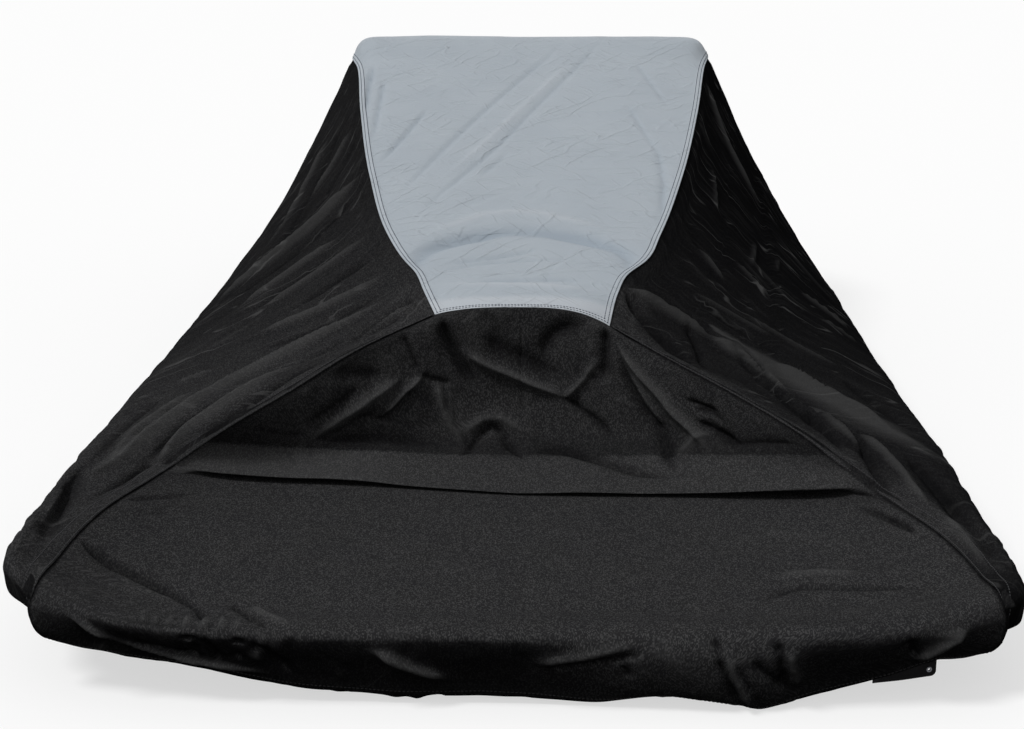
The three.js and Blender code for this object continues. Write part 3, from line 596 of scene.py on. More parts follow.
stern_creases = [
    (11, 4, (-548, 36), (-508, 16), (-471, 0), (-423, -16), (-330, -36), (-270, -46)),  # left
    (-6, 6, (-500, 10), (-450, -6), (-370, -20)),
    (-9, 5, (-310, 10), (-286, -14), (-258, -48)),
    (-8, 4, (-366, 12), (-354, -10), (-346, -30)),
    (11, 6, (-166, -4), (-125, -26), (-68, -54)),
    (7, 6, (22, -24), (85, -12), (156, 6)),  # the flap's edge, middle
    (-9, 5, (34, -34), (95, -22), (164, -3)),
    (-6, 5, (128, -20), (136, -30), (142, -42)),
    (-12, 5, (236, 16), (250, -30), (280, -86)),  # the slanting folds, right
    (9, 5, (250, 2), (262, -36), (288, -84)),
    (-7, 4, (264, -14), (276, -44), (298, -76)),
    (-8, 6, (282, -10), (302, -32), (332, -60)),
    (-11, 5, (312, 14), (322, -20), (330, -64)),
    (8, 6, (326, 2), (333, -28), (342, -58)),
    (-9, 7, (466, 10), (476, -4), (484, -20)),
    (12, 7, (544, 20), (508, -2), (470, -26)),  # the spur at the right corner
    (-7, 7, (540, 6), (514, -12), (496, -26)),
]


def look_up(table, column, at):
    """A table's column on a smooth line through its rows, at any place along its first column."""
    key, value = table[:, 0], table[:, column]
    tilt = np.empty(len(key))
    tilt[1:-1] = (value[2:] - value[:-2]) / (key[2:] - key[:-2])
    tilt[0], tilt[-1] = [(value[i + 1] - value[i]) / (key[i + 1] - key[i]) for i in (0, -2)]
    i = np.clip(np.searchsorted(key, at, side="right") - 1, 0, len(key) - 2)
    span = key[i + 1] - key[i]
    s = np.clip((at - key[i]) / span, 0, 1)
    return between(value[i], span * tilt[i], value[i + 1], span * tilt[i + 1], s)


def gunwale_points(side, forward):
    """Where one side's gunwale line runs, at these places forward."""
    column = 1 if side < 0 else 3
    return np.stack([side * look_up(gunwale, column, forward), forward,
                     look_up(gunwale, column + 1, forward)], -1)


def distance_to(grid, line, reach=70.0):
    """How far each point of a grid is from a line of points, up to a reach."""
    run = run_down(line)
    close = np.arange(0, run[-1], 1.0)
    line = read_at(close, run, line)
    away = np.full(grid.shape[:2], reach)
    for i, row in enumerate(grid):
        near = line[np.all((line > row.min(0) - reach) & (line < row.max(0) + reach), axis=1)]
        if len(near):
            gaps = np.linalg.norm(row[:, None] - near[None], axis=-1).min(1)
            away[i] = np.minimum(gaps, reach)
    return away


rear_places = []


def rear_row(section):
    """A row of points across the rear panel, whose places from the middle out are kept as well."""
    left, centre, right, bend = (np.array(part, float) for part in section)

    def curve(place):
        end = np.where(place[:, None] < 0, left, right)
        share = np.abs(place)[:, None]
        return np.concatenate([(centre + (end - centre) * share)[:, :1],
                               centre[1:] + (end - centre)[:, 1:] * share ** bend], 1)
    row = across(curve, rear_columns)
    rear_places.append(row[:, 0] / np.where(row[:, 0] < 0, -left[0], right[0]))
    return row


rows = np.array([rear_row(section) for section in rear_sections])
rear_places = np.array(rear_places)
stern = rows[-1]
place = rear_places[-1]
corner = np.sign(place) * stern_turn * smooth((np.abs(place) - 0.75) / 0.25)
drop, hangs = (look_up(stern_hem, column, stern[:, 0]) for column in (1, 2))
hem = []
for (under_out, under_down), (out, down) in zip(drawn_under, hanging):
    out = under_out + hangs * (out - under_out)
    down = under_down + hangs * (down - under_down)
    hem.append(stern + np.stack([out * np.sin(corner), -out * np.cos(corner), -down * drop], -1))
back, deck = rows[:lip + 1], np.concatenate([rows[lip + 1:], hem])

# Rows down the cloth: close together at the sewn edge, on the seat's back, at the tuck's folds and
# over the stern edge. Between the lip and the deck the cloth runs in a flat zigzag.
middle = back.shape[1] // 2


def stops(stations, spacing, start=()):
    """Fractional stations at these distances apart down the middle, station by station."""
    dense = np.linspace(0, len(stations) - 1, 400)
    run = run_down(drape(stations[:, [middle]], dense))[:, 0]
    ends = np.interp(np.arange(len(stations)), dense, run)
    wanted = list(start)
    for i, gap in enumerate(spacing):
        first = max(ends[i], wanted[-1] + gap if wanted else 0)
        wanted.extend(np.arange(first, ends[i + 1], gap))
    return np.interp(wanted + [ends[-1]], run, dense)


back_at = stops(back, [3, 3, 3, 3.2, 3.4], edge_rows)
deck_at = stops(deck, [4.6, 4.6, 4.2, 2.5, 2.8, 3.2, 3.6, 4.0, 4.0])  # fine over the stern edge
zigzag = np.array([0.05, 0.1, 0.15, 0.22, 0.32, 0.42, 0.5, 0.56, 0.6, 0.64, 0.68, 0.75, 0.85, 0.94])
fold_rows = rows[lip] + (rows[lip + 1] - rows[lip]) * zigzag[:, None, None]
rear_base = np.concatenate([drape(back, back_at), fold_rows, drape(deck, deck_at)])
rear_at = np.concatenate([back_at, lip + 1.9 * zigzag, lip + 2 + deck_at])
# A row's number counts sections from the seat, and the zigzag takes up two more.
numbers = [0, 1, 2, 3, 4, lip, lip + 2, 8, 9, 10]
all_places = np.array([np.interp(rear_at, numbers, one) for one in rear_places.T]).T
size = np.abs(all_places)
bow = np.where(all_places < 0, *tuck_bow) * np.sin(np.pi * size ** 1.2)
reach = smooth((rear_at - 3) / 2) * smooth((9 - rear_at) / 2)
rear_base[..., 1] += bow * reach[:, None]
strength = 1 - smooth((size - 0.84) / 0.16)  # the tuck flattens into the seams
height = look_up(tuck_lip, 1, rear_base[..., 0])
# How far ahead of a flat zigzag each row lies, and what share of the lip's height it stands off.
fold_at = [3.6, 4.3, 4.8, 4.93, 5.0, 5.07, 5.19, 5.95, 6.14, 6.29, 6.8, 7.3]
ahead = np.interp(rear_at, fold_at, [0, -2, -8, -9.6, -10, -9.4, -7, 30, 34, 30, 3, 0])
above = np.interp(rear_at, fold_at, [0, 0.55, 0.98, 1, 0.88, 0.76, 0.68, 0.42, 0.32, 0.22, 0.02, 0])
near_tuck = smooth((rear_at - 4.2) / 0.8) * smooth((8.2 - rear_at) / 1.2)
rear_base[..., 1] += near_tuck[:, None] * look_up(tuck_lip, 2, rear_base[..., 0])
rear_base[..., 1] += strength * ahead[:, None]
rear_base[..., 2] += height * above[:, None]

rear_normal = facing(rear_base, rear_outward)
from_seam = np.minimum(distance_to(rear_base, rear_base[:, 0]),
                       distance_to(rear_base, rear_base[:, -1]))
down_run = run_down(rear_base)
flat_points, flat_normals = rear_base.reshape(-1, 3), rear_normal.reshape(-1, 3)
# Places for the small creases and for the drawn ones: the seat's back, the deck, the stern edge.
on_back = flat_points[(flat_points[:, 1] > 610) & (flat_points[:, 2] > 40)]
on_deck = flat_points[(flat_points[:, 1] > 40) & (flat_points[:, 1] < 470)]
on_edge = flat_points[(flat_points[:, 1] < 25) & (flat_points[:, 2] > -50)]
on_hem = flat_points[flat_points[:, 1] < 60]
on_top = rear_base[(rear_at > lip + 2) & (rear_at < lip + 2 + stern_edge)].reshape(-1, 3)
small_creases = chance_creases(7, 60, on_back, (0.5, -0.3, -0.8), 1.5, (35, 110), (4, 9),
                               (0.8, 2.6))
small_creases += chance_creases(8, 26, on_deck, (0.95, -0.25, 0), 0.5, (120, 340), (12, 22),
                                (0.5, 1.3))
small_creases += chance_creases(9, 36, on_edge, (0.5, 0.1, -0.85), 0.9, (45, 120), (5, 10),
                                (0.8, 2.4))
folds = creased(flat_points, flat_normals,
                laid_on(flat_points[flat_points[:, 1] > 540], back_creases, [0, 2])
                + laid_on(on_top, deck_creases, [0, 1])
                + laid_on(on_hem, stern_creases, [0, 2]) + small_creases)
# Slow waves, smaller ones, fine ones drawn out across the deck, and more on the seat's back.
lift = folds + 1.6 * rumple(flat_points, 130, 11) + 0.9 * rumple(flat_points, 46, 12)
lift += 0.45 * rumple(drawn_out(flat_points, (1, 0.1, 0), 3), 16, 13)
steep = smooth((flat_points[:, 1] - 600) / 60)
lift += (0.6 + 1.2 * steep) * rumple(drawn_out(flat_points, (0.2, 0.1, 1), 2), 30, 14)
lift = lift.reshape(from_seam.shape)
kept = smooth(from_seam / 16) * np.minimum(1, down_run / 14)
lift *= kept
# Painted highlights on the creases' ridges and painted shade in their valleys.
crest = ridges(folds.reshape(kept.shape), kept)
in_tuck = np.interp(rear_at, [4.6, 4.85, 7.1, 7.5], [0, 1, 1, 0])
lift *= 1 - (in_tuck[:, None] * smooth(strength * 4))  # its layers don't pass through each other
lift += (0.6 * rumple(flat_points, 14, 15)).reshape(lift.shape) * smooth((26 - from_seam) / 14)
lift -= 1.0 * smooth((4 - from_seam) / 4)  # down under the side panels
rear_grid = rear_base + lift[..., None] * rear_normal
rear_normal = facing(rear_grid, rear_outward)

# The upper edge goes on under the pale panel, and each side on under the side panel.
under_pale_end = np.array([rear_grid[0] + (0, 14, -1.4), rear_grid[0] + (0, 6, -1.2)])
cloth = np.concatenate([under_pale_end, rear_grid])
cloth[2] += (0, 0, -0.9)
on_skirt = (np.concatenate([[0, 0], rear_at]) > lip + 2 + stern_edge + 0.2)[:, None]
for side in (-1, 1):
    seam = cloth[:, 0 if side < 0 else -1]
    along = unit(np.gradient(seam, axis=0))
    fall = np.where(on_skirt, (side * 0.5, 0.86, 0.0), gunwale_points(side, seam[:, 1]) - seam)
    into = unit(fall - (fall * along).sum(1, keepdims=True) * along)
    up = np.cross(along, into)
    up *= np.sign(up @ np.array([side * 0.5, -0.3, 0.8]))[:, None]
    joined = np.stack([seam + 14 * into - 1.2 * up, seam + 5 * into - 0.9 * up], 1)
    cloth = np.concatenate([joined, cloth] if side < 0 else [cloth, joined[:, ::-1]], 1)

# Painted light and shade: 0 is the darkest painted shade, 1 the cloth's plain colour, and above
# that it is painted lighter. The hem where it is drawn under and cloth that faces steeply or down
# get painted shade, and the band between the foot of the seat's back and the tuck's lip gets the
# most painted light.
least = 0.22 + 0.5 * look_up(stern_hem, 2, rear_grid[..., 0])
dust = least + (1 - least) * smooth((rear_normal[..., 2] - 0.02) / 0.34)
dust = np.maximum(dust, smooth((rear_grid[..., 1] - 420) / 60))
band = smooth((rear_at - 3.6) / 0.2) * smooth((6 - rear_at) / 0.2)
lighter_to_left = smooth((-120 - rear_grid[..., 0]) / 160) * smooth((rear_grid[..., 0] + 520) / 60)
foot = smooth((rear_at - 2.4) / 0.8) * smooth((3.7 - rear_at) / 0.15)
dust *= 1 - 0.5 * foot[:, None]  # the shade at the foot of the seat's back
dust += band[:, None] * (0.16 + 0.38 * lighter_to_left)  # painted light, most on the left
dust *= 0.3 + 0.7 * smooth(from_seam / 6)  # the shade beside the seam
painted_crease_light_amount, dust_amount = (np.pad(amount, ((2, 0), (2, 2)), mode="edge")
                             for amount in (crest, dust))
hardly_crushed = np.full(painted_crease_light_amount.shape, 0.1)
rear_panel = cloth_piece("rear_cloth", cloth, rear_outward, crest=painted_crease_light_amount, dust=dust_amount,
                         crush=hardly_crushed)

# The same woven polyester in black: matt all over, with painted light on the level cloth and
# painted shade on steep cloth, small creases with painted highlights on their ridges and painted
# shade in their valleys, and a painted sheen on the fine creases.
black_cloth, tree = new_material("black_coated_polyester")
layout, threads = plain_weave(tree, 0.0014)  # 0.6 mm threads, drawn wider so that they show
mottle = add(tree, "ShaderNodeTexNoise", {"Vector": layout, "Scale": 11.0, "Detail": 4.0}, "Fac")
colour = add(tree, "ShaderNodeMix", {0: mottle, 6: linear("#252527"), 7: linear("#2a2a2a")}, 2,
             data_type="RGBA")
# Single floats of the weave catch the light: cells of 1.2 x 2 mm, each with a chance brightness.
cell = add(tree, "ShaderNodeVectorMath", {0: layout, 1: (0.0012, 0.002, 1.0)}, 0, operation="SNAP")
speck = add(tree, "ShaderNodeTexWhiteNoise", {"Vector": cell}, "Value")
colour = tinted(tree, colour, "#606060", speck, 0.5, 1.0, 0.43)
# Painted light on the level cloth, and painted shade that leaves the steep sides and the
# drawn-under hem deeper black.
dust = add(tree, "ShaderNodeAttribute", {}, "Fac", attribute_name="dust")
colour = tinted(tree, colour, "#0d0d0e", dust, 1.0, 0.0, 1.0)
colour = tinted(tree, colour, "#646464", dust, 1.0, 2.0, 0.3)
crush = add(tree, "ShaderNodeAttribute", {}, "Fac", attribute_name="crush")
painted_crease_light = add(tree, "ShaderNodeAttribute", {}, "Fac", attribute_name="crest")
colour = tinted(tree, colour, "#646464", painted_crease_light, 0.53, 1.0, 0.22)  # painted highlight on the ridges
colour = tinted(tree, colour, "#0e0e0f", painted_crease_light, 0.47, 0.0, 0.55)  # painted shade in the valleys
# The panels pulled tight over the sides keep long fine creases along the pull, and short ones.
pulled = add(tree, "ShaderNodeMapping", {"Vector": layout, "Rotation": (0, 0, -0.6),
                                         "Scale": (0.16, 0.010, 1)}, "Vector",
             vector_type="TEXTURE")
streak = add(tree, "ShaderNodeTexNoise", {"Vector": pulled, "Scale": 1.0, "Detail": 2.0}, "Fac")
streak = add(tree, "ShaderNodeMapRange", {"Value": streak, "From Min": 0.3, "From Max": 0.7,
                                          "To Min": -1.0, "To Max": 1.0}, "Result")
streak = add(tree, "ShaderNodeMath", {0: streak, 1: crush}, 0, operation="MULTIPLY")
long_small = short_creases(tree, layout, 0.016, 7.0, -0.6, 0.035, 0.1)
short_small = short_creases(tree, layout, 0.010, 4.0, -0.05, 0.05, -0.02)
small = add(tree, "ShaderNodeMath", {0: long_small, 1: short_small}, 0, operation="MAXIMUM")
small = add(tree, "ShaderNodeMath", {0: small, 1: crush}, 0, operation="MULTIPLY")
# A painted sheen lightens the cloth along these fine creases.
painted_sheen_on_creases = add(tree, "ShaderNodeMath", {0: streak, 1: 0.035, 2: 0.0}, 0, operation="MULTIPLY_ADD",
             use_clamp=True)
painted_sheen_on_creases = add(tree, "ShaderNodeMath", {0: small, 1: 0.3, 2: painted_sheen_on_creases}, 0, operation="MULTIPLY_ADD",
             use_clamp=True)
colour = add(tree, "ShaderNodeMix", {0: painted_sheen_on_creases, 6: colour, 7: linear("#787878")}, 2,
             data_type="RGBA")
relief = add(tree, "ShaderNodeBump", {"Height": streak, "Distance": 0.0003}, "Normal")
relief = add(tree, "ShaderNodeBump", {"Height": small, "Distance": 0.0013, "Normal": relief},
             "Normal")
relief = add(tree, "ShaderNodeBump", {"Height": threads, "Distance": 0.00015, "Normal": relief},
             "Normal")
surface = add(tree, "ShaderNodeBsdfPrincipled", {
    "Base Color": colour, "Roughness": 0.55, "Specular IOR Level": 0.0, "Normal": relief,
}, "BSDF")
add(tree, "ShaderNodeOutputMaterial", {"Surface": surface})
rear_panel.data.materials.append(black_cloth)

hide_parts("rear_panel")
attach(rear_panel, "root")

# ======== Side panels ========
# The two long black panels from the pale panel's edge over the gunwale to the hem. Along the deck
# and the back of the seat each one's edge is turned in and felled over the rear panel, and forward
# of that it lies under the pale panel's turned edge. The hem is turned in and drawn under.
side_hem = np.array([
    (50, 42, 48), (140, 66, 66), (320, 108, 104), (700, 134, 126), (1200, 126, 132),
    (1800, 120, 120), (2500, 130, 124), (3185, 110, 110),
], float)  # forward, then how far the hem hangs below the gunwale, left and right
side_sag = np.array([
    (52, 0), (300, 3), (620, 12), (900, 18), (1500, 15), (2120, 7), (2700, 6), (3185, 0),
], float)  # forward, then how far the cloth sinks between the seam and the gunwale
felled_edge = 22.0
felled_proud = 0.8  # how far its layers stand above the rest
felled_rows_of_stitches = (2.5, 19.5)  # from the seam
felled_rows = np.array([0, 0.8, 2.5, 4.5, 6.5, 9, 12, 15, 17.5, 19.5, 21.5, 23.5, 26, 30])
rows_below = 112  # rows of points from there to the hem
rib_gaps = (3.4, 5.2, 9.5)  # between ribs: along the deck and seat, then to the bars, then on
rib_parts = 7  # equal parts from the seam to the gunwale
laps = (1.1, -1.5)  # how far the edge lies above the rear panel's edge, and below the pale one's
dusty_places = (100, 300, 700, 1300)  # forward, where the painted light and shade of each side is given
crushed_places = (500, 900, 1400)  # and how crushed its cloth is

# Creases of each side, seen from above like the top panel's.
left_creases = [
    (8, 12, (-408, 1830), (-440, 1750), (-492, 1545)),  # from the bars down to the gunwale
    (-11, 12, (-372, 1810), (-405, 1700), (-465, 1470), (-538, 1330)),
    (8, 8, (-340, 1640), (-385, 1560), (-430, 1530)),
    (-8, 9, (-330, 1560), (-375, 1450), (-420, 1390)),
    (17, 11, (-282, 1345), (-385, 1325), (-500, 1375), (-606, 1390)),
    (-11, 9, (-292, 1290), (-400, 1270), (-505, 1300), (-580, 1320)),
    (10, 9, (-312, 1170), (-412, 1190), (-525, 1180)),
    (-8, 9, (-312, 1110), (-400, 1125), (-500, 1110)),
    (7, 11, (-253, 1090), (-350, 1095), (-490, 1080)),
    (-7, 11, (-240, 1010), (-330, 1020), (-420, 1000)),
    (10, 8, (-208, 935), (-300, 930), (-475, 960)),
    (-7, 9, (-215, 890), (-310, 885), (-440, 880)),
    (15, 10, (-190, 870), (-340, 835), (-440, 770), (-522, 635), (-592, 500), (-612, 410)),
    (-12, 6, (-205, 840), (-332, 760), (-457, 675), (-534, 552), (-590, 320)),
    (11, 8, (-286, 790), (-400, 705), (-503, 575), (-567, 400)),  # beside the seam
    (-13, 9, (-270, 735), (-340, 695), (-416, 620), (-490, 560)),
    (-13, 6, (-158, 842), (-230, 800), (-275, 762)),  # short ones at the seat
    (-8, 5, (-184, 792), (-243, 770)),
    (8, 6, (-170, 815), (-235, 785), (-265, 768)),
    (8, 5, (-490, 850), (-557, 818)),
    (8, 8, (-496, 775), (-556, 650), (-600, 485)),
    (-8, 8, (-560, 790), (-590, 640), (-612, 500)),
    (-11, 13, (-616, 500), (-611, 340), (-596, 150)),  # at the stern corner
    (8, 6, (-618, 400), (-610, 230)),
    (-6, 5, (-612, 430), (-604, 320), (-596, 260)),
]
right_creases = [
    (8, 30, (290, 880), (390, 820), (470, 740), (560, 640), (610, 530)),  # the roll by the seam
    (15, 7, (160, 865), (230, 862), (308, 838)),
    (-22, 8, (150, 868), (207, 792), (285, 700)),
    (-13, 5, (260, 862), (276, 790), (286, 715)),
    (15, 8, (290, 850), (361, 805), (418, 715)),
    (-17, 6, (316, 856), (368, 770), (397, 692), (462, 560)),
    (-14, 5, (346, 862), (396, 736), (474, 552)),
    (15, 8, (391, 841), (452, 768), (529, 670), (565, 610)),
    (-15, 5, (432, 690), (452, 600), (470, 530)),  # where three run together
    (11, 5, (452, 680), (480, 600), (500, 540)),
    (-13, 5, (468, 664), (490, 610), (508, 556)),
    (-14, 6, (498, 572), (511, 480), (522, 430)),
    (12, 7, (492, 630), (539, 520), (568, 378)),
    (-13, 8, (560, 570), (588, 430), (591, 318)),
    (-9, 12, (514, 885), (552, 812), (612, 655)),
    (9, 8, (592, 160), (588, 290), (574, 385)),  # at the stern corner
    (-9, 8, (606, 180), (602, 320), (588, 420)),
    (6, 4, (350, 1500), (352, 1420), (345, 1300)),  # fine ones below the bars
    (6, 4, (424, 1370), (412, 1280), (398, 1200)),
    (6, 3, (470, 1390), (460, 1310)),
    (6, 4, (298, 1115), (320, 1085), (346, 1050)),
    (7, 4, (364, 1175), (398, 1150), (436, 1118)),
    (9, 4, (492, 1290), (540, 1275), (596, 1262)),
    (6, 4, (520, 1200), (560, 1190), (600, 1180)),
    (9, 10, (330, 1900), (400, 1740), (470, 1620)),
    (5, 6, (272, 945), (350, 945), (424, 938)),
    (5, 6, (358, 982), (450, 950), (540, 926)),
    (-6, 7, (290, 925), (370, 905), (450, 880)),
]


def side_cloth(side, creases, pull):
    """A side panel's grid and normals, how far each point is from the seam, which ribs are felled,
    each point's station, how far forward each rib starts, and the painted light and shade of the
    creases."""
    end = 0 if side < 0 else -1
    at = np.linspace(stern_edge, 0, 160)[:-1]
    diagonal = np.concatenate([drape(deck[:, [end]], at)[:, 0],
                               (rows[lip, end] + (rows[lip + 1, end] - rows[lip, end])
                                * np.linspace(1, 0, 30)[:-1, None]),
                               drape(back[:, [end]], np.linspace(lip, 0, 200))[:-1, 0]])
    forward_edge = drape(top_stations[:, [end]], np.linspace(0, len(top_sections) - 1, 900))[:, 0]
    line = np.concatenate([diagonal, forward_edge])
    run = run_down(line)
    corner_run, seat_run = run[-1], run[len(diagonal)]
    bars_run = np.interp(top_sections[bars][0], forward_edge[:, 1], run[len(diagonal):])
    wanted = np.concatenate([np.arange(first, last, gap) for first, last, gap in zip(
        (0, seat_run, bars_run), (seat_run, bars_run, corner_run), rib_gaps)] + [[corner_run]])
    start = read_at(wanted, run, line)
    felled = wanted < seat_run  # the ribs whose edge lies over the rear panel

    # Stations down each rib: sagging from the seam to the gunwale, then down the skirt to the hem.
    y = start[:, 1]
    edge = gunwale_points(side, y)
    across_rib = edge - start
    flat = across_rib * (1, 0, 1)
    inward = unit(np.stack([side * flat[:, 2], 0 * y, -np.abs(flat[:, 0])], -1))
    share = (np.arange(rib_parts) / rib_parts)[:, None, None]
    sag = look_up(side_sag, 1, y)[None, :, None]
    stations = start + share * across_rib + 4 * sag * share * (1 - share) * inward
    change = look_up(gunwale, 1, y + 20) - look_up(gunwale, 1, y - 20)
    turn = np.clip(np.arctan2(-change, 40), -stern_turn, np.pi / 2 - bow_turn)
    hang = look_up(side_hem, 1 if side < 0 else 2, y)
    skirt = [edge + np.stack([side * out * np.cos(turn), out * np.sin(turn), -down * hang], -1)
             for out, down in hem_steps]
    stations = np.concatenate([stations, skirt])

    # At both corner seams the ribs run down the neighbour's edge, and near them they lean to it.
    for neighbour, edge_row, lead in ((deck[:, end], stern_edge, start[0]), (top_stations[:, end],
                                      len(top_sections) - 1, start[-1])):
        hem_line = neighbour[edge_row + 1:][-len(hem_steps):]
        first = hem_line[0]
        corner = np.concatenate([lead + share[:, 0] * (first - lead), hem_line])
        gone = np.linalg.norm(start - lead, axis=1) / 62  # it takes the ribs within 62 mm
        lean = (1 - smooth(gone))[None, :, None]
        moved = corner[:, None] + (start - lead)[None]
        stations += lean * (moved - stations)

    # The same number of points down every rib: close together at the seam, even from there on.
    dense = np.linspace(0, len(stations) - 1, 500)
    path = drape(stations, dense)
    length = run_down(path)
    at = np.empty((len(felled_rows) + rows_below, len(y)))
    for rib in range(len(y)):
        total = length[-1, rib]
        near = felled_rows * min(1, total / 60)
        wanted_run = np.concatenate([near, np.linspace(near[-1], total, rows_below + 1)[1:]])
        at[:, rib] = np.interp(wanted_run, length[:, rib], dense)
    base = drape(stations, at).transpose(1, 0, 2)
    facing_out = (side, 0, 0.6)
    normal = facing(base, facing_out)
    down_rib = run_down(base.transpose(1, 0, 2)).T
    from_hem = down_rib[:, -1:] - down_rib
    from_seam = distance_to(base, line)
    end_of_hem = at.T > rib_parts + 3.6  # the drawn-in end, which stays calmer

    points, normals = base.reshape(-1, 3), normal.reshape(-1, 3)
    by_deck = points[(points[:, 1] < 1150) & (points[:, 1] > 120)]
    by_seat = points[(points[:, 1] >= 1000) & (points[:, 1] < 2150)]
    small_creases = chance_creases(70 + side, 62, by_deck, pull, 0.3, (90, 320), (5, 12),
                                   (0.8, 2.8))
    small_creases += chance_creases(80 + side, 70, by_seat, pull, 0.45, (90, 300), (7, 15),
                                    (1.0, 3.4))
    small_creases += chance_creases(90 + side, 50, by_deck, pull, 0.6, (40, 110), (4, 7),
                                    (0.6, 1.5))
    upper = base[at.T < rib_parts]
    folds = creased(points, normals, laid_on(upper, creases, [0, 1]) + small_creases)
    # Slow waves, and smaller and fine ones drawn out along the pull.
    lift = folds + 1.8 * rumple(points, 150, 21 + side)
    lift += 1.1 * rumple(drawn_out(points, pull, 3), 46, 31 + side)
    lift += 0.6 * rumple(drawn_out(points, pull, 4), 15, 41 + side)
    lift = lift.reshape(from_seam.shape)
    ends = np.minimum(wanted, corner_run - wanted)
    kept = smooth(from_seam / 22) * np.minimum(1, ends / 25)[:, None]
    lift *= kept
    # Painted highlights on the creases' ridges and painted shade in their valleys.
    crest = ridges(folds.reshape(kept.shape), kept)
    beside = smooth((26 - from_seam) / 14)
    lift += np.where(felled, *laps)[:, None] * smooth((20 - from_seam) / 14)
    lift += felled[:, None] * felled_proud * smooth((felled_edge + 1.5 - from_seam) / 3)
    pucker = rumple(points, 13, 51 + side).reshape(from_seam.shape)
    lift += felled[:, None] * 0.55 * pucker * beside * smooth(from_seam / 3)
    at_hem = smooth((50 - from_hem) / 30)
    lift += 0.5 * rumple(points, 17, 61 + side).reshape(from_seam.shape) * at_hem
    for row in felled_rows_of_stitches:  # the thread draws the cloth in, and it lies in shade
        drawn_in = felled[:, None] * np.exp(-((from_seam - row) / 1.4) ** 2)
        lift -= 0.4 * drawn_in
        crest -= 0.2 * drawn_in
    lift *= np.where(end_of_hem, 0.5, 1.0)
    grid = base + lift[..., None] * normal
    return grid, facing(grid, facing_out), from_seam, felled, at.T, y, crest


side_panels = {}
for side, name, creases, pull, dusty, crushed in (
        (-1, "left", left_creases, (-0.75, -0.55, -0.3), (1.0, 1.0, 0.78, 0.32), (0.35, 0.6, 0.7)),
        (1, "right", right_creases, (0.75, -0.6, -0.3), (0.1, 0.22, 0.27, 0.05), (0.35, 0.6, 0.9))):
    grid, normal, from_seam, felled, stations_at, y, crest = side_cloth(side, creases, pull)
    side_panels[name] = grid, normal, from_seam, felled, stations_at
    # The edge is turned in under itself along the deck, and goes on under the pale panel.
    seam = grid[:, 0]
    along = unit(np.gradient(seam, axis=0))
    into = grid[:, 4] - seam
    into = unit(into - (into * along).sum(1, keepdims=True) * along)
    pale_edge = top_base[:, 0 if side < 0 else -1]
    pale_into = unit(top_base[:, 5 if side < 0 else -6] - pale_edge)
    pale_up = top_normal[:, 0 if side < 0 else -1]
    under_pale, pale_out = (read_at(y, pale_edge[:, 1], values) for values in (pale_into, pale_up))
    over = felled[:, None]
    under = np.where(over, seam + 9 * into - 1.6 * normal[:, 0],
                     seam + 10 * under_pale - 0.8 * pale_out)
    edge = np.where(over, seam - 0.2 * into - 0.8 * normal[:, 0],
                    seam + 2 * under_pale - 0.3 * pale_out)
    cloth = np.concatenate([under[:, None], edge[:, None], grid], 1)
    crush = np.interp(y, crushed_places, crushed)
    # Painted light and shade: the right side darker than the left, painted lighter near the seam
    # along the deck, and darker where the cloth faces down.
    kept_dust = np.interp(y, dusty_places, dusty)
    painted_light_near_seam = smooth((75 - from_seam) / 50) * smooth((900 - y) / 80)[:, None]
    painted_light_near_seam *= 1 if side < 0 else smooth((y - 60) / 300)[:, None]
    dust = kept_dust[:, None] + (0.9 - kept_dust[:, None]) * painted_light_near_seam
    dust = dust * (0.3 + 0.7 * smooth((normal[..., 2] + 0.15) / 0.35))
    piece = cloth_piece(f"side_cloth_{name}", cloth, (side, 0, 0.6),
                        crest=np.pad(crest, ((0, 0), (2, 0)), mode="edge"),
                        dust=np.pad(dust, ((0, 0), (2, 0)), mode="edge"),
                        crush=np.repeat(crush[:, None], cloth.shape[1], 1))
    piece.data.materials.append(black_cloth)
    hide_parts(f"side_panel_{name}")
    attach(piece, "root")

# ======== Stitching ========
# Lockstitch in bonded polyester thread: two dark rows along the pale panel's turned edge, two along
# each felled seam and one along the hem. Each stitch is a short rounded bar half sunk in the cloth.
stitch_sizes = {"Pitch": 0.0050, "Length": 0.0041,
                "Width": 0.0014}  # 0.7 mm thread, drawn thicker so that it shows
thread_rise = 0.25  # how far its middle lies above the cloth
hem_rows = {"side": 3.35, "stern": 4.5}  # steps down each skirt


def line_across(grid, normal, amount, wanted):
    """The line on a cloth where an amount that grows along each of its rows has a value."""
    line, up = [], []
    for track, out, value in zip(grid, normal, amount):
        line.append(read_at(wanted, value, track))
        up.append(read_at(wanted, value, out))
    return np.array(line), unit(np.array(up))


# The rows come in as edges, with the way up at each point, and go out as bars of thread.
stitch_tree = bpy.data.node_groups.new("rows_of_stitches", "GeometryNodeTree")
face = stitch_tree.interface
face.new_socket("Lines", in_out="INPUT", socket_type="NodeSocketGeometry")
size_inputs = {
    name: face.new_socket(name, in_out="INPUT", socket_type="NodeSocketFloat").identifier
    for name in stitch_sizes}
thread_input = face.new_socket(
    "Thread", in_out="INPUT", socket_type="NodeSocketMaterial").identifier
face.new_socket("Stitches", in_out="OUTPUT", socket_type="NodeSocketGeometry")
given = add(stitch_tree, "NodeGroupInput")
curve = add(stitch_tree, "GeometryNodeMeshToCurve", {"Mesh": given.outputs["Lines"]}, "Curve")
spaced = add(stitch_tree, "GeometryNodeResampleCurve", {
    "Curve": curve, "Length": given.outputs["Pitch"]}, "Curve", mode="LENGTH")
tangent = add(stitch_tree, "GeometryNodeInputTangent", {}, "Tangent")
upward = add(stitch_tree, "GeometryNodeInputNamedAttribute", {"Name": "up"}, "Attribute",
             data_type="FLOAT_VECTOR")
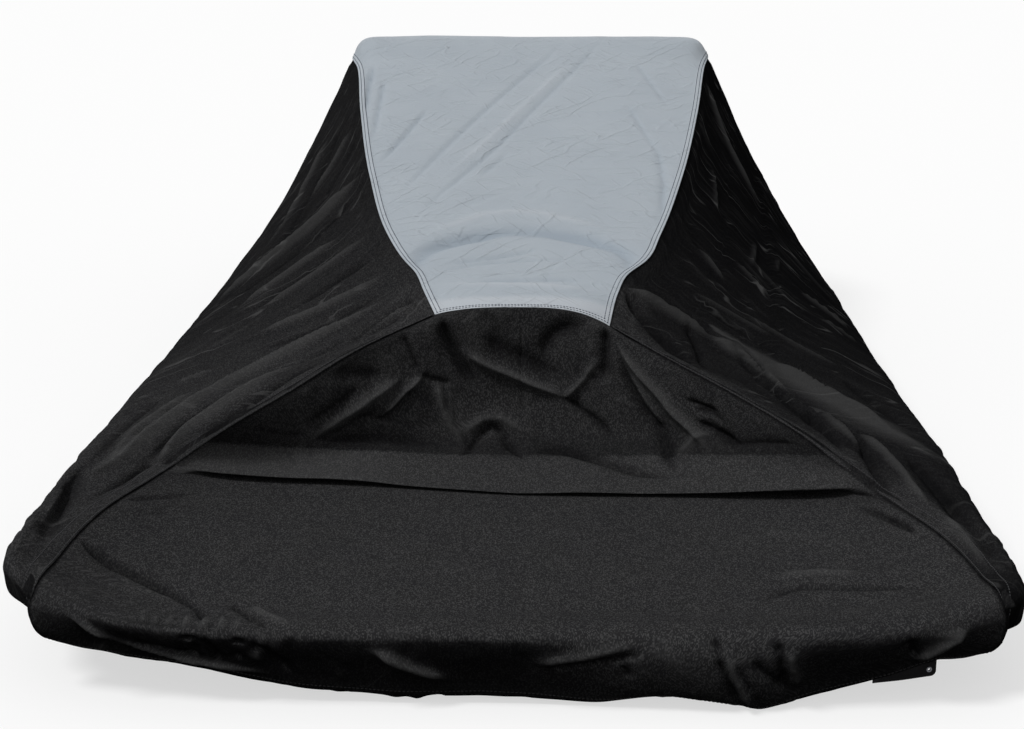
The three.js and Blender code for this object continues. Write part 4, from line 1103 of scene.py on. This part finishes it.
along_row = add(stitch_tree, "FunctionNodeAlignRotationToVector", {"Vector": tangent}, "Rotation",
                axis="X")
on_cloth = add(stitch_tree, "FunctionNodeAlignRotationToVector", {
    "Rotation": along_row, "Vector": upward}, "Rotation", axis="Z", pivot_axis="X")
ball = add(stitch_tree, "GeometryNodeMeshUVSphere", {"Segments": 6, "Rings": 4, "Radius": 0.5},
           "Mesh")
stitch_size = add(stitch_tree, "ShaderNodeCombineXYZ", {
    "X": given.outputs["Length"], "Y": given.outputs["Width"],
    "Z": given.outputs["Width"]}, "Vector")
bars_of_thread = add(stitch_tree, "GeometryNodeInstanceOnPoints", {
    "Points": spaced, "Instance": ball, "Rotation": on_cloth, "Scale": stitch_size}, "Instances")
real = add(stitch_tree, "GeometryNodeRealizeInstances", {"Geometry": bars_of_thread}, "Geometry")
smoothed = add(stitch_tree, "GeometryNodeSetShadeSmooth", {"Geometry": real}, "Geometry")
threaded = add(stitch_tree, "GeometryNodeSetMaterial", {
    "Geometry": smoothed, "Material": given.outputs["Thread"]}, "Geometry")
add(stitch_tree, "NodeGroupOutput", {"Stitches": threaded})


def sew(name, lines, thread):
    """One piece of stitches along the lines, each a pair of points and normals."""
    points, ups, edges = [], [], []
    for line, up in lines:
        first = sum(map(len, points))
        points.append((line + thread_rise * up - part_origin) / 1000)
        ups.append(up)
        edges += [(first + i, first + i + 1) for i in range(len(line) - 1)]
    mesh = bpy.data.meshes.new(name + "_lines")
    mesh.from_pydata(np.concatenate(points).tolist(), edges, [])
    layer = mesh.attributes.new("up", "FLOAT_VECTOR", "POINT")
    layer.data.foreach_set("vector", np.concatenate(ups).astype(np.float32).ravel())
    rows_of_thread = put_in_scene(name + "_lines", mesh)
    modifier = rows_of_thread.modifiers.new("stitches", "NODES")
    modifier.node_group = stitch_tree
    for size_name, identifier in size_inputs.items():
        modifier[identifier] = stitch_sizes[size_name]
    modifier[thread_input] = thread
    made = rows_of_thread.evaluated_get(bpy.context.evaluated_depsgraph_get())
    sewn = put_in_scene(name, bpy.data.meshes.new_from_object(made))
    bpy.data.objects.remove(rows_of_thread)
    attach(sewn, "root")


# Bonded thread is smooth and a little glossy: dark navy on the pale panel, charcoal on the black
# seams and black in the hem.
threads_of = {}
for name, code in (("navy_bonded_thread", "#2b3140"), ("charcoal_bonded_thread", "#3a3a3c"),
                   ("black_bonded_thread", "#161617")):
    material, tree = new_material(name)
    laid = add(tree, "ShaderNodeTexCoord", {}, "Object")
    ply = add(tree, "ShaderNodeTexNoise", {"Vector": laid, "Scale": 900.0, "Detail": 1.0}, "Fac")
    tone = add(tree, "ShaderNodeMapRange", {"Value": ply, "To Min": 0.7, "To Max": 1.3}, "Result")
    colour = add(tree, "ShaderNodeMix", {0: 1.0, 6: linear(code), 7: tone}, 2, data_type="RGBA",
                 blend_type="MULTIPLY")
    twist = add(tree, "ShaderNodeBump", {"Height": ply, "Distance": 0.0002}, "Normal")
    surface = add(tree, "ShaderNodeBsdfPrincipled", {
        "Base Color": colour, "Roughness": 0.5, "Specular IOR Level": 0.1, "Normal": twist}, "BSDF")
    add(tree, "ShaderNodeOutputMaterial", {"Surface": surface})
    threads_of[name] = material

pale_lines, rows_on_black, hem_lines = [], [], []
columns_in = run_down(top_grid.transpose(1, 0, 2)).T
from_right = columns_in[:, -1:] - columns_in
for distance in pale_rows_of_stitches:
    left = line_across(top_grid, top_normal, columns_in, distance)
    right = line_across(top_grid[:, ::-1], top_normal[:, ::-1], from_right[:, ::-1], distance)
    seat = line_across(top_grid.transpose(1, 0, 2), top_normal.transpose(1, 0, 2),
                       run_down(top_grid).T, distance)
    started = int(np.searchsorted(run_down(top_grid)[:, 0], distance))
    inside = slice(int(np.searchsorted(columns_in[0], distance)),
                   int(np.searchsorted(columns_in[0], columns_in[0, -1] - distance)))
    for line, up in (left, right):
        pale_lines.append((line[started:top_rows], up[started:top_rows]))
    pale_lines.append((seat[0][inside], seat[1][inside]))
sew("pale_edge_stitches", pale_lines, threads_of["navy_bonded_thread"])
for grid, normal, from_seam, felled, stations_at in side_panels.values():
    for distance in felled_rows_of_stitches:
        line, up = line_across(grid, normal, from_seam, distance)
        rows_on_black.append((line[felled][3:], up[felled][3:]))
    line, up = line_across(grid, normal, stations_at, rib_parts + hem_rows["side"])
    hem_lines.append((line[2:-2], up[2:-2]))
line, up = line_across(rear_grid.transpose(1, 0, 2), rear_normal.transpose(1, 0, 2),
                       np.repeat(rear_at[None, :], rear_grid.shape[1], 0),
                       lip + 2 + stern_edge + hem_rows["stern"])
hem_lines.append((line[2:-2], up[2:-2]))
sew("felled_seam_stitches", rows_on_black, threads_of["charcoal_bonded_thread"])
sew("hem_stitches", hem_lines, threads_of["black_bonded_thread"])

# ======== Tie tab ========
# A short tab of black woven webbing, 78 mm wide, sewn behind the stern hem on the right: one lower
# corner is rounded and its cut edges are heat-sealed. It hangs nearly flat from the hem.
tab_width, tab_thickness, tab_corner = 78.0, 1.6, 7.0
tab_bottom, tab_top = (-60.0, -54.0), (-14.0, 3.0)  # heights at its left and right side
tab_curl = 3.0  # how far its loose lower left corner has curled forward
tab_turn = np.arctan2(0.16366, 0.98652)  # it lies along the stern, which curves forward there
tab_along = np.array([np.cos(tab_turn), np.sin(tab_turn), 0])
tab_ahead = np.array([-np.sin(tab_turn), np.cos(tab_turn), 0])
tab_low = np.array(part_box("tie_tab")[0]) * 1000 + part_origin
tab_start = np.array([tab_low[0] + tab_thickness * np.sin(tab_turn), tab_low[1], 0])
edge_round = 0.45  # on each side of its cut edge
eyelet_seat, eyelet_inset = 4.5, 9.0  # the hole punched for it, and how far in from both edges
eyelet_centre = np.array([tab_width - eyelet_inset, tab_bottom[1] + eyelet_inset])


def on_tab(across_tab, height, depth):
    """Places on the tab in the part's frame, from millimetres across, up and through it."""
    curl = tab_curl * smooth((40 - across_tab) / 45) * smooth((-22 - height) / 40)
    place = (tab_start + across_tab[..., None] * tab_along + (depth + curl)[..., None] * tab_ahead)
    place[..., 2] += height
    return (place - part_origin) / 1000


def ring_mesh(name, rings, closed):
    """A mesh of rings of points joined one to the next, and the last to the first if closed."""
    count, around = rings.shape[:2]
    index = np.arange(count * around).reshape(count, around)
    following = np.roll(index, -1, 0) if closed else index[1:]
    first = index if closed else index[:-1]
    quads = np.stack([first, np.roll(first, -1, 1), np.roll(following, -1, 1), following], -1)
    mesh = bpy.data.meshes.new(name)
    mesh.from_pydata(rings.reshape(-1, 3).tolist(), [], quads.reshape(-1, 4).tolist())
    mesh.polygons.foreach_set("use_smooth", np.ones(len(mesh.polygons), bool))
    bulk = bmesh.new()
    bulk.from_mesh(mesh)
    bmesh.ops.recalc_face_normals(bulk, faces=bulk.faces)
    bulk.to_mesh(mesh)
    bulk.free()
    return put_in_scene(name, mesh)


# Rings from the eyelet's seat out to the cut edge, round it and back behind.
turns = np.linspace(-np.pi / 2, 0, 7)
rounded = [(tab_width - tab_corner + tab_corner * np.cos(t),
            tab_bottom[1] + tab_corner + tab_corner * np.sin(t)) for t in turns]
corners = np.array([(0, tab_top[0]), (0, tab_bottom[0])] + rounded + [(tab_width, tab_top[1]),
                                                                   (0, tab_top[0])])
edge_run = run_down(corners)
steps = np.unique(np.concatenate([np.arange(0, edge_run[-1], 2.5), edge_run]))[:-1]
outline = read_at(steps, edge_run, corners)
seat = eyelet_centre + eyelet_seat / 2 * unit(outline - eyelet_centre)
shares = np.linspace(0, 1, 19) ** 1.3
front = [(seat + share * (outline - seat), 0.0) for share in shares[:-1]]
inset = outline - 0.5 * unit(outline - eyelet_centre)
half_round = [(inset, 0.0), (outline, edge_round), (outline, tab_thickness - edge_round),
              (inset, tab_thickness)]
rear_side = [(flat, tab_thickness) for flat, _ in front[::-1]]
layers = front + half_round + rear_side
flat_rings = np.array([flat for flat, _ in layers])
depths = np.array([np.full(len(outline), depth) for _, depth in layers])
tie_tab = ring_mesh("tie_tab_webbing", on_tab(flat_rings[..., 0], flat_rings[..., 1], depths), True)
lay_flat(tie_tab.data, flat_rings.reshape(-1, 2) / 1000)
sealed = np.zeros(depths.shape)
sealed[len(front) - 1:len(front) + len(half_round) + 1] = 1  # the cut edge and a ring on each side
keep_amount(tie_tab.data, "sealed", sealed)

# Black polyester webbing: a tight twill whose ribs run across it, matt, and glossy where the hot
# knife sealed the cut.
black_webbing, tree = new_material("black_woven_webbing")
layout = add(tree, "ShaderNodeUVMap", {}, "UV", uv_map="weave")
parts = add(tree, "ShaderNodeSeparateXYZ", {"Vector": layout})
zigzag_run = add(tree, "ShaderNodeMath", {0: parts.outputs["X"], 1: 0.004}, 0, operation="PINGPONG")
slope = add(tree, "ShaderNodeMath", {0: parts.outputs["Y"], 1: zigzag_run}, 0, operation="ADD")
wave = add(tree, "ShaderNodeMath", {0: slope, 1: 2 * np.pi / 0.0018}, 0, operation="MULTIPLY")
ribs = add(tree, "ShaderNodeMath", {0: wave}, 0, operation="SINE")
tone = add(tree, "ShaderNodeMapRange", {"Value": ribs, "From Min": -1.0, "From Max": 1.0}, "Result")
colour = add(tree, "ShaderNodeMix", {0: tone, 6: linear("#040405"), 7: linear("#0b0b0c")}, 2,
             data_type="RGBA")
cut = add(tree, "ShaderNodeAttribute", {}, "Fac", attribute_name="sealed")
roughness = add(tree, "ShaderNodeMapRange", {"Value": cut, "To Min": 0.75, "To Max": 0.4}, "Result")
relief = add(tree, "ShaderNodeBump", {"Height": ribs, "Distance": 0.00025}, "Normal")
surface = add(tree, "ShaderNodeBsdfPrincipled", {
    "Base Color": colour, "Roughness": roughness, "Specular IOR Level": 0.1, "Normal": relief},
              "BSDF")
add(tree, "ShaderNodeOutputMaterial", {"Surface": surface})
tie_tab.data.materials.append(black_webbing)
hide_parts("tie_tab")
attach(tie_tab, "root")

# ======== Eyelet ========
# A small two-part eyelet pressed through the tab: a barrel with a rolled flange on each face. It is
# steel, chemically darkened to an uneven grey.

# out from its middle and from the tab's middle: the hole is 3 mm across and the flange 7 mm
half_section = np.array([(1.5, 0.9), (1.58, 1.25), (1.85, 1.48), (2.3, 1.55), (2.9, 1.48),
                         (3.35, 1.28), (3.5, 1.08), (3.38, 0.94), (2.6, 0.88), (2.12, 0.8)])
section = np.concatenate([half_section * (1, -1), half_section[::-1]])
turns = np.linspace(0, 2 * np.pi, 33)[:-1]
rings = [(eyelet_centre[0] + radius * np.cos(turns), eyelet_centre[1] + radius * np.sin(turns),
          np.full(len(turns), tab_thickness / 2 + depth)) for radius, depth in section]
rings = np.array([on_tab(*ring) for ring in rings])
eyelet = ring_mesh("tab_eyelet_ring", rings, True)
dark_steel, tree = new_material("darkened_steel")
laid = add(tree, "ShaderNodeTexCoord", {}, "Object")
grain = add(tree, "ShaderNodeTexNoise", {"Vector": laid, "Scale": 2600.0, "Detail": 3.0}, "Fac")
colour = add(tree, "ShaderNodeMix", {0: grain, 6: linear("#4c4d50"), 7: linear("#75767a")}, 2,
             data_type="RGBA")
roughness = add(tree, "ShaderNodeMapRange", {"Value": grain, "To Min": 0.32, "To Max": 0.5},
                "Result")
relief = add(tree, "ShaderNodeBump", {"Height": grain, "Distance": 0.00003}, "Normal")
surface = add(tree, "ShaderNodeBsdfPrincipled", {
    "Base Color": colour, "Metallic": 1.0, "Roughness": roughness, "Normal": relief}, "BSDF")
add(tree, "ShaderNodeOutputMaterial", {"Surface": surface})
eyelet.data.materials.append(dark_steel)
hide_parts("tab_eyelet")
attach(eyelet, "root")

# ======== Floor, light and camera ========
# A plain pale floor at the hem's lowest point, one broad soft lamp high up on the left, and an even
# pale room.
floor_level = min((piece.matrix_world @ Vector(corner)).z
                  for piece in bpy.context.scene.objects if piece.type == "MESH"
                  for corner in piece.bound_box) - 0.0005
floor_mesh = bpy.data.meshes.new("floor")
floor_mesh.from_pydata([(x, y, floor_level)
                        for x, y in ((-60, -60), (60, -60), (60, 60), (-60, 60))],
                       [], [(0, 1, 2, 3)])
floor = put_in_scene("floor", floor_mesh)


def seen_plainly(tree):
    """1 for what the camera sees, straight on, mirrored or through glass, and 0 for its light."""
    rays = add(tree, "ShaderNodeLightPath").outputs
    seen = add(tree, "ShaderNodeMath", {0: rays["Is Camera Ray"], 1: rays["Is Glossy Ray"]}, 0,
               operation="ADD")
    return add(tree, "ShaderNodeMath", {0: seen, 1: rays["Is Transmission Ray"]}, 0,
               operation="ADD", use_clamp=True)


pale_floor, tree = new_material("pale_floor")
white = add(tree, "ShaderNodeEmission", {"Color": (1, 1, 1, 1), "Strength": 0.62}, "Emission")
matt = add(tree, "ShaderNodeBsdfDiffuse", {"Color": (0.36, 0.36, 0.36, 1)}, "BSDF")
lit = add(tree, "ShaderNodeAddShader", {0: white, 1: matt}, 0)
dim = add(tree, "ShaderNodeBsdfDiffuse", {"Color": (0.04, 0.04, 0.04, 1)}, "BSDF")
shown = add(tree, "ShaderNodeMixShader", {0: seen_plainly(tree), 1: dim, 2: lit}, 0)
add(tree, "ShaderNodeOutputMaterial", {"Surface": shown})
floor_mesh.materials.append(pale_floor)

room = bpy.data.worlds.new("room")
bpy.context.scene.world = room
room.use_nodes = True
tree = room.node_tree
tree.nodes.clear()
around = add(tree, "ShaderNodeBackground", {"Color": (1, 1, 1, 1), "Strength": 0.47}, "Background")
behind = add(tree, "ShaderNodeBackground", {"Color": (1, 1, 1, 1), "Strength": 1.0}, "Background")
shown = add(tree, "ShaderNodeMixShader", {0: seen_plainly(tree), 1: around, 2: behind}, 0)
add(tree, "ShaderNodeOutputWorld", {"Surface": shown})

lamp = bpy.data.lights.new("high_soft_lamp", "SUN")
lamp.energy = 2.0
lamp.angle = 0.3  # so wide that its shadows are soft
high_lamp = put_in_scene("high_soft_lamp", lamp)
high_lamp.rotation_euler = Vector((-0.5, -0.28, 0.82)).to_track_quat("Z", "Y").to_euler()

# The camera stands behind the stern with a long lens and looks 15 degrees down.
lens = bpy.data.cameras.new("camera")
lens.sensor_width = 36.0
lens.lens = 64.86
camera = put_in_scene("camera", lens)
camera.location = (0.042, -4.12, 0.3549)
camera.rotation_euler = (np.radians(75), 0, np.radians(1.149))
bpy.context.scene.camera = camera
bpy.context.scene.view_settings.view_transform = "Standard"
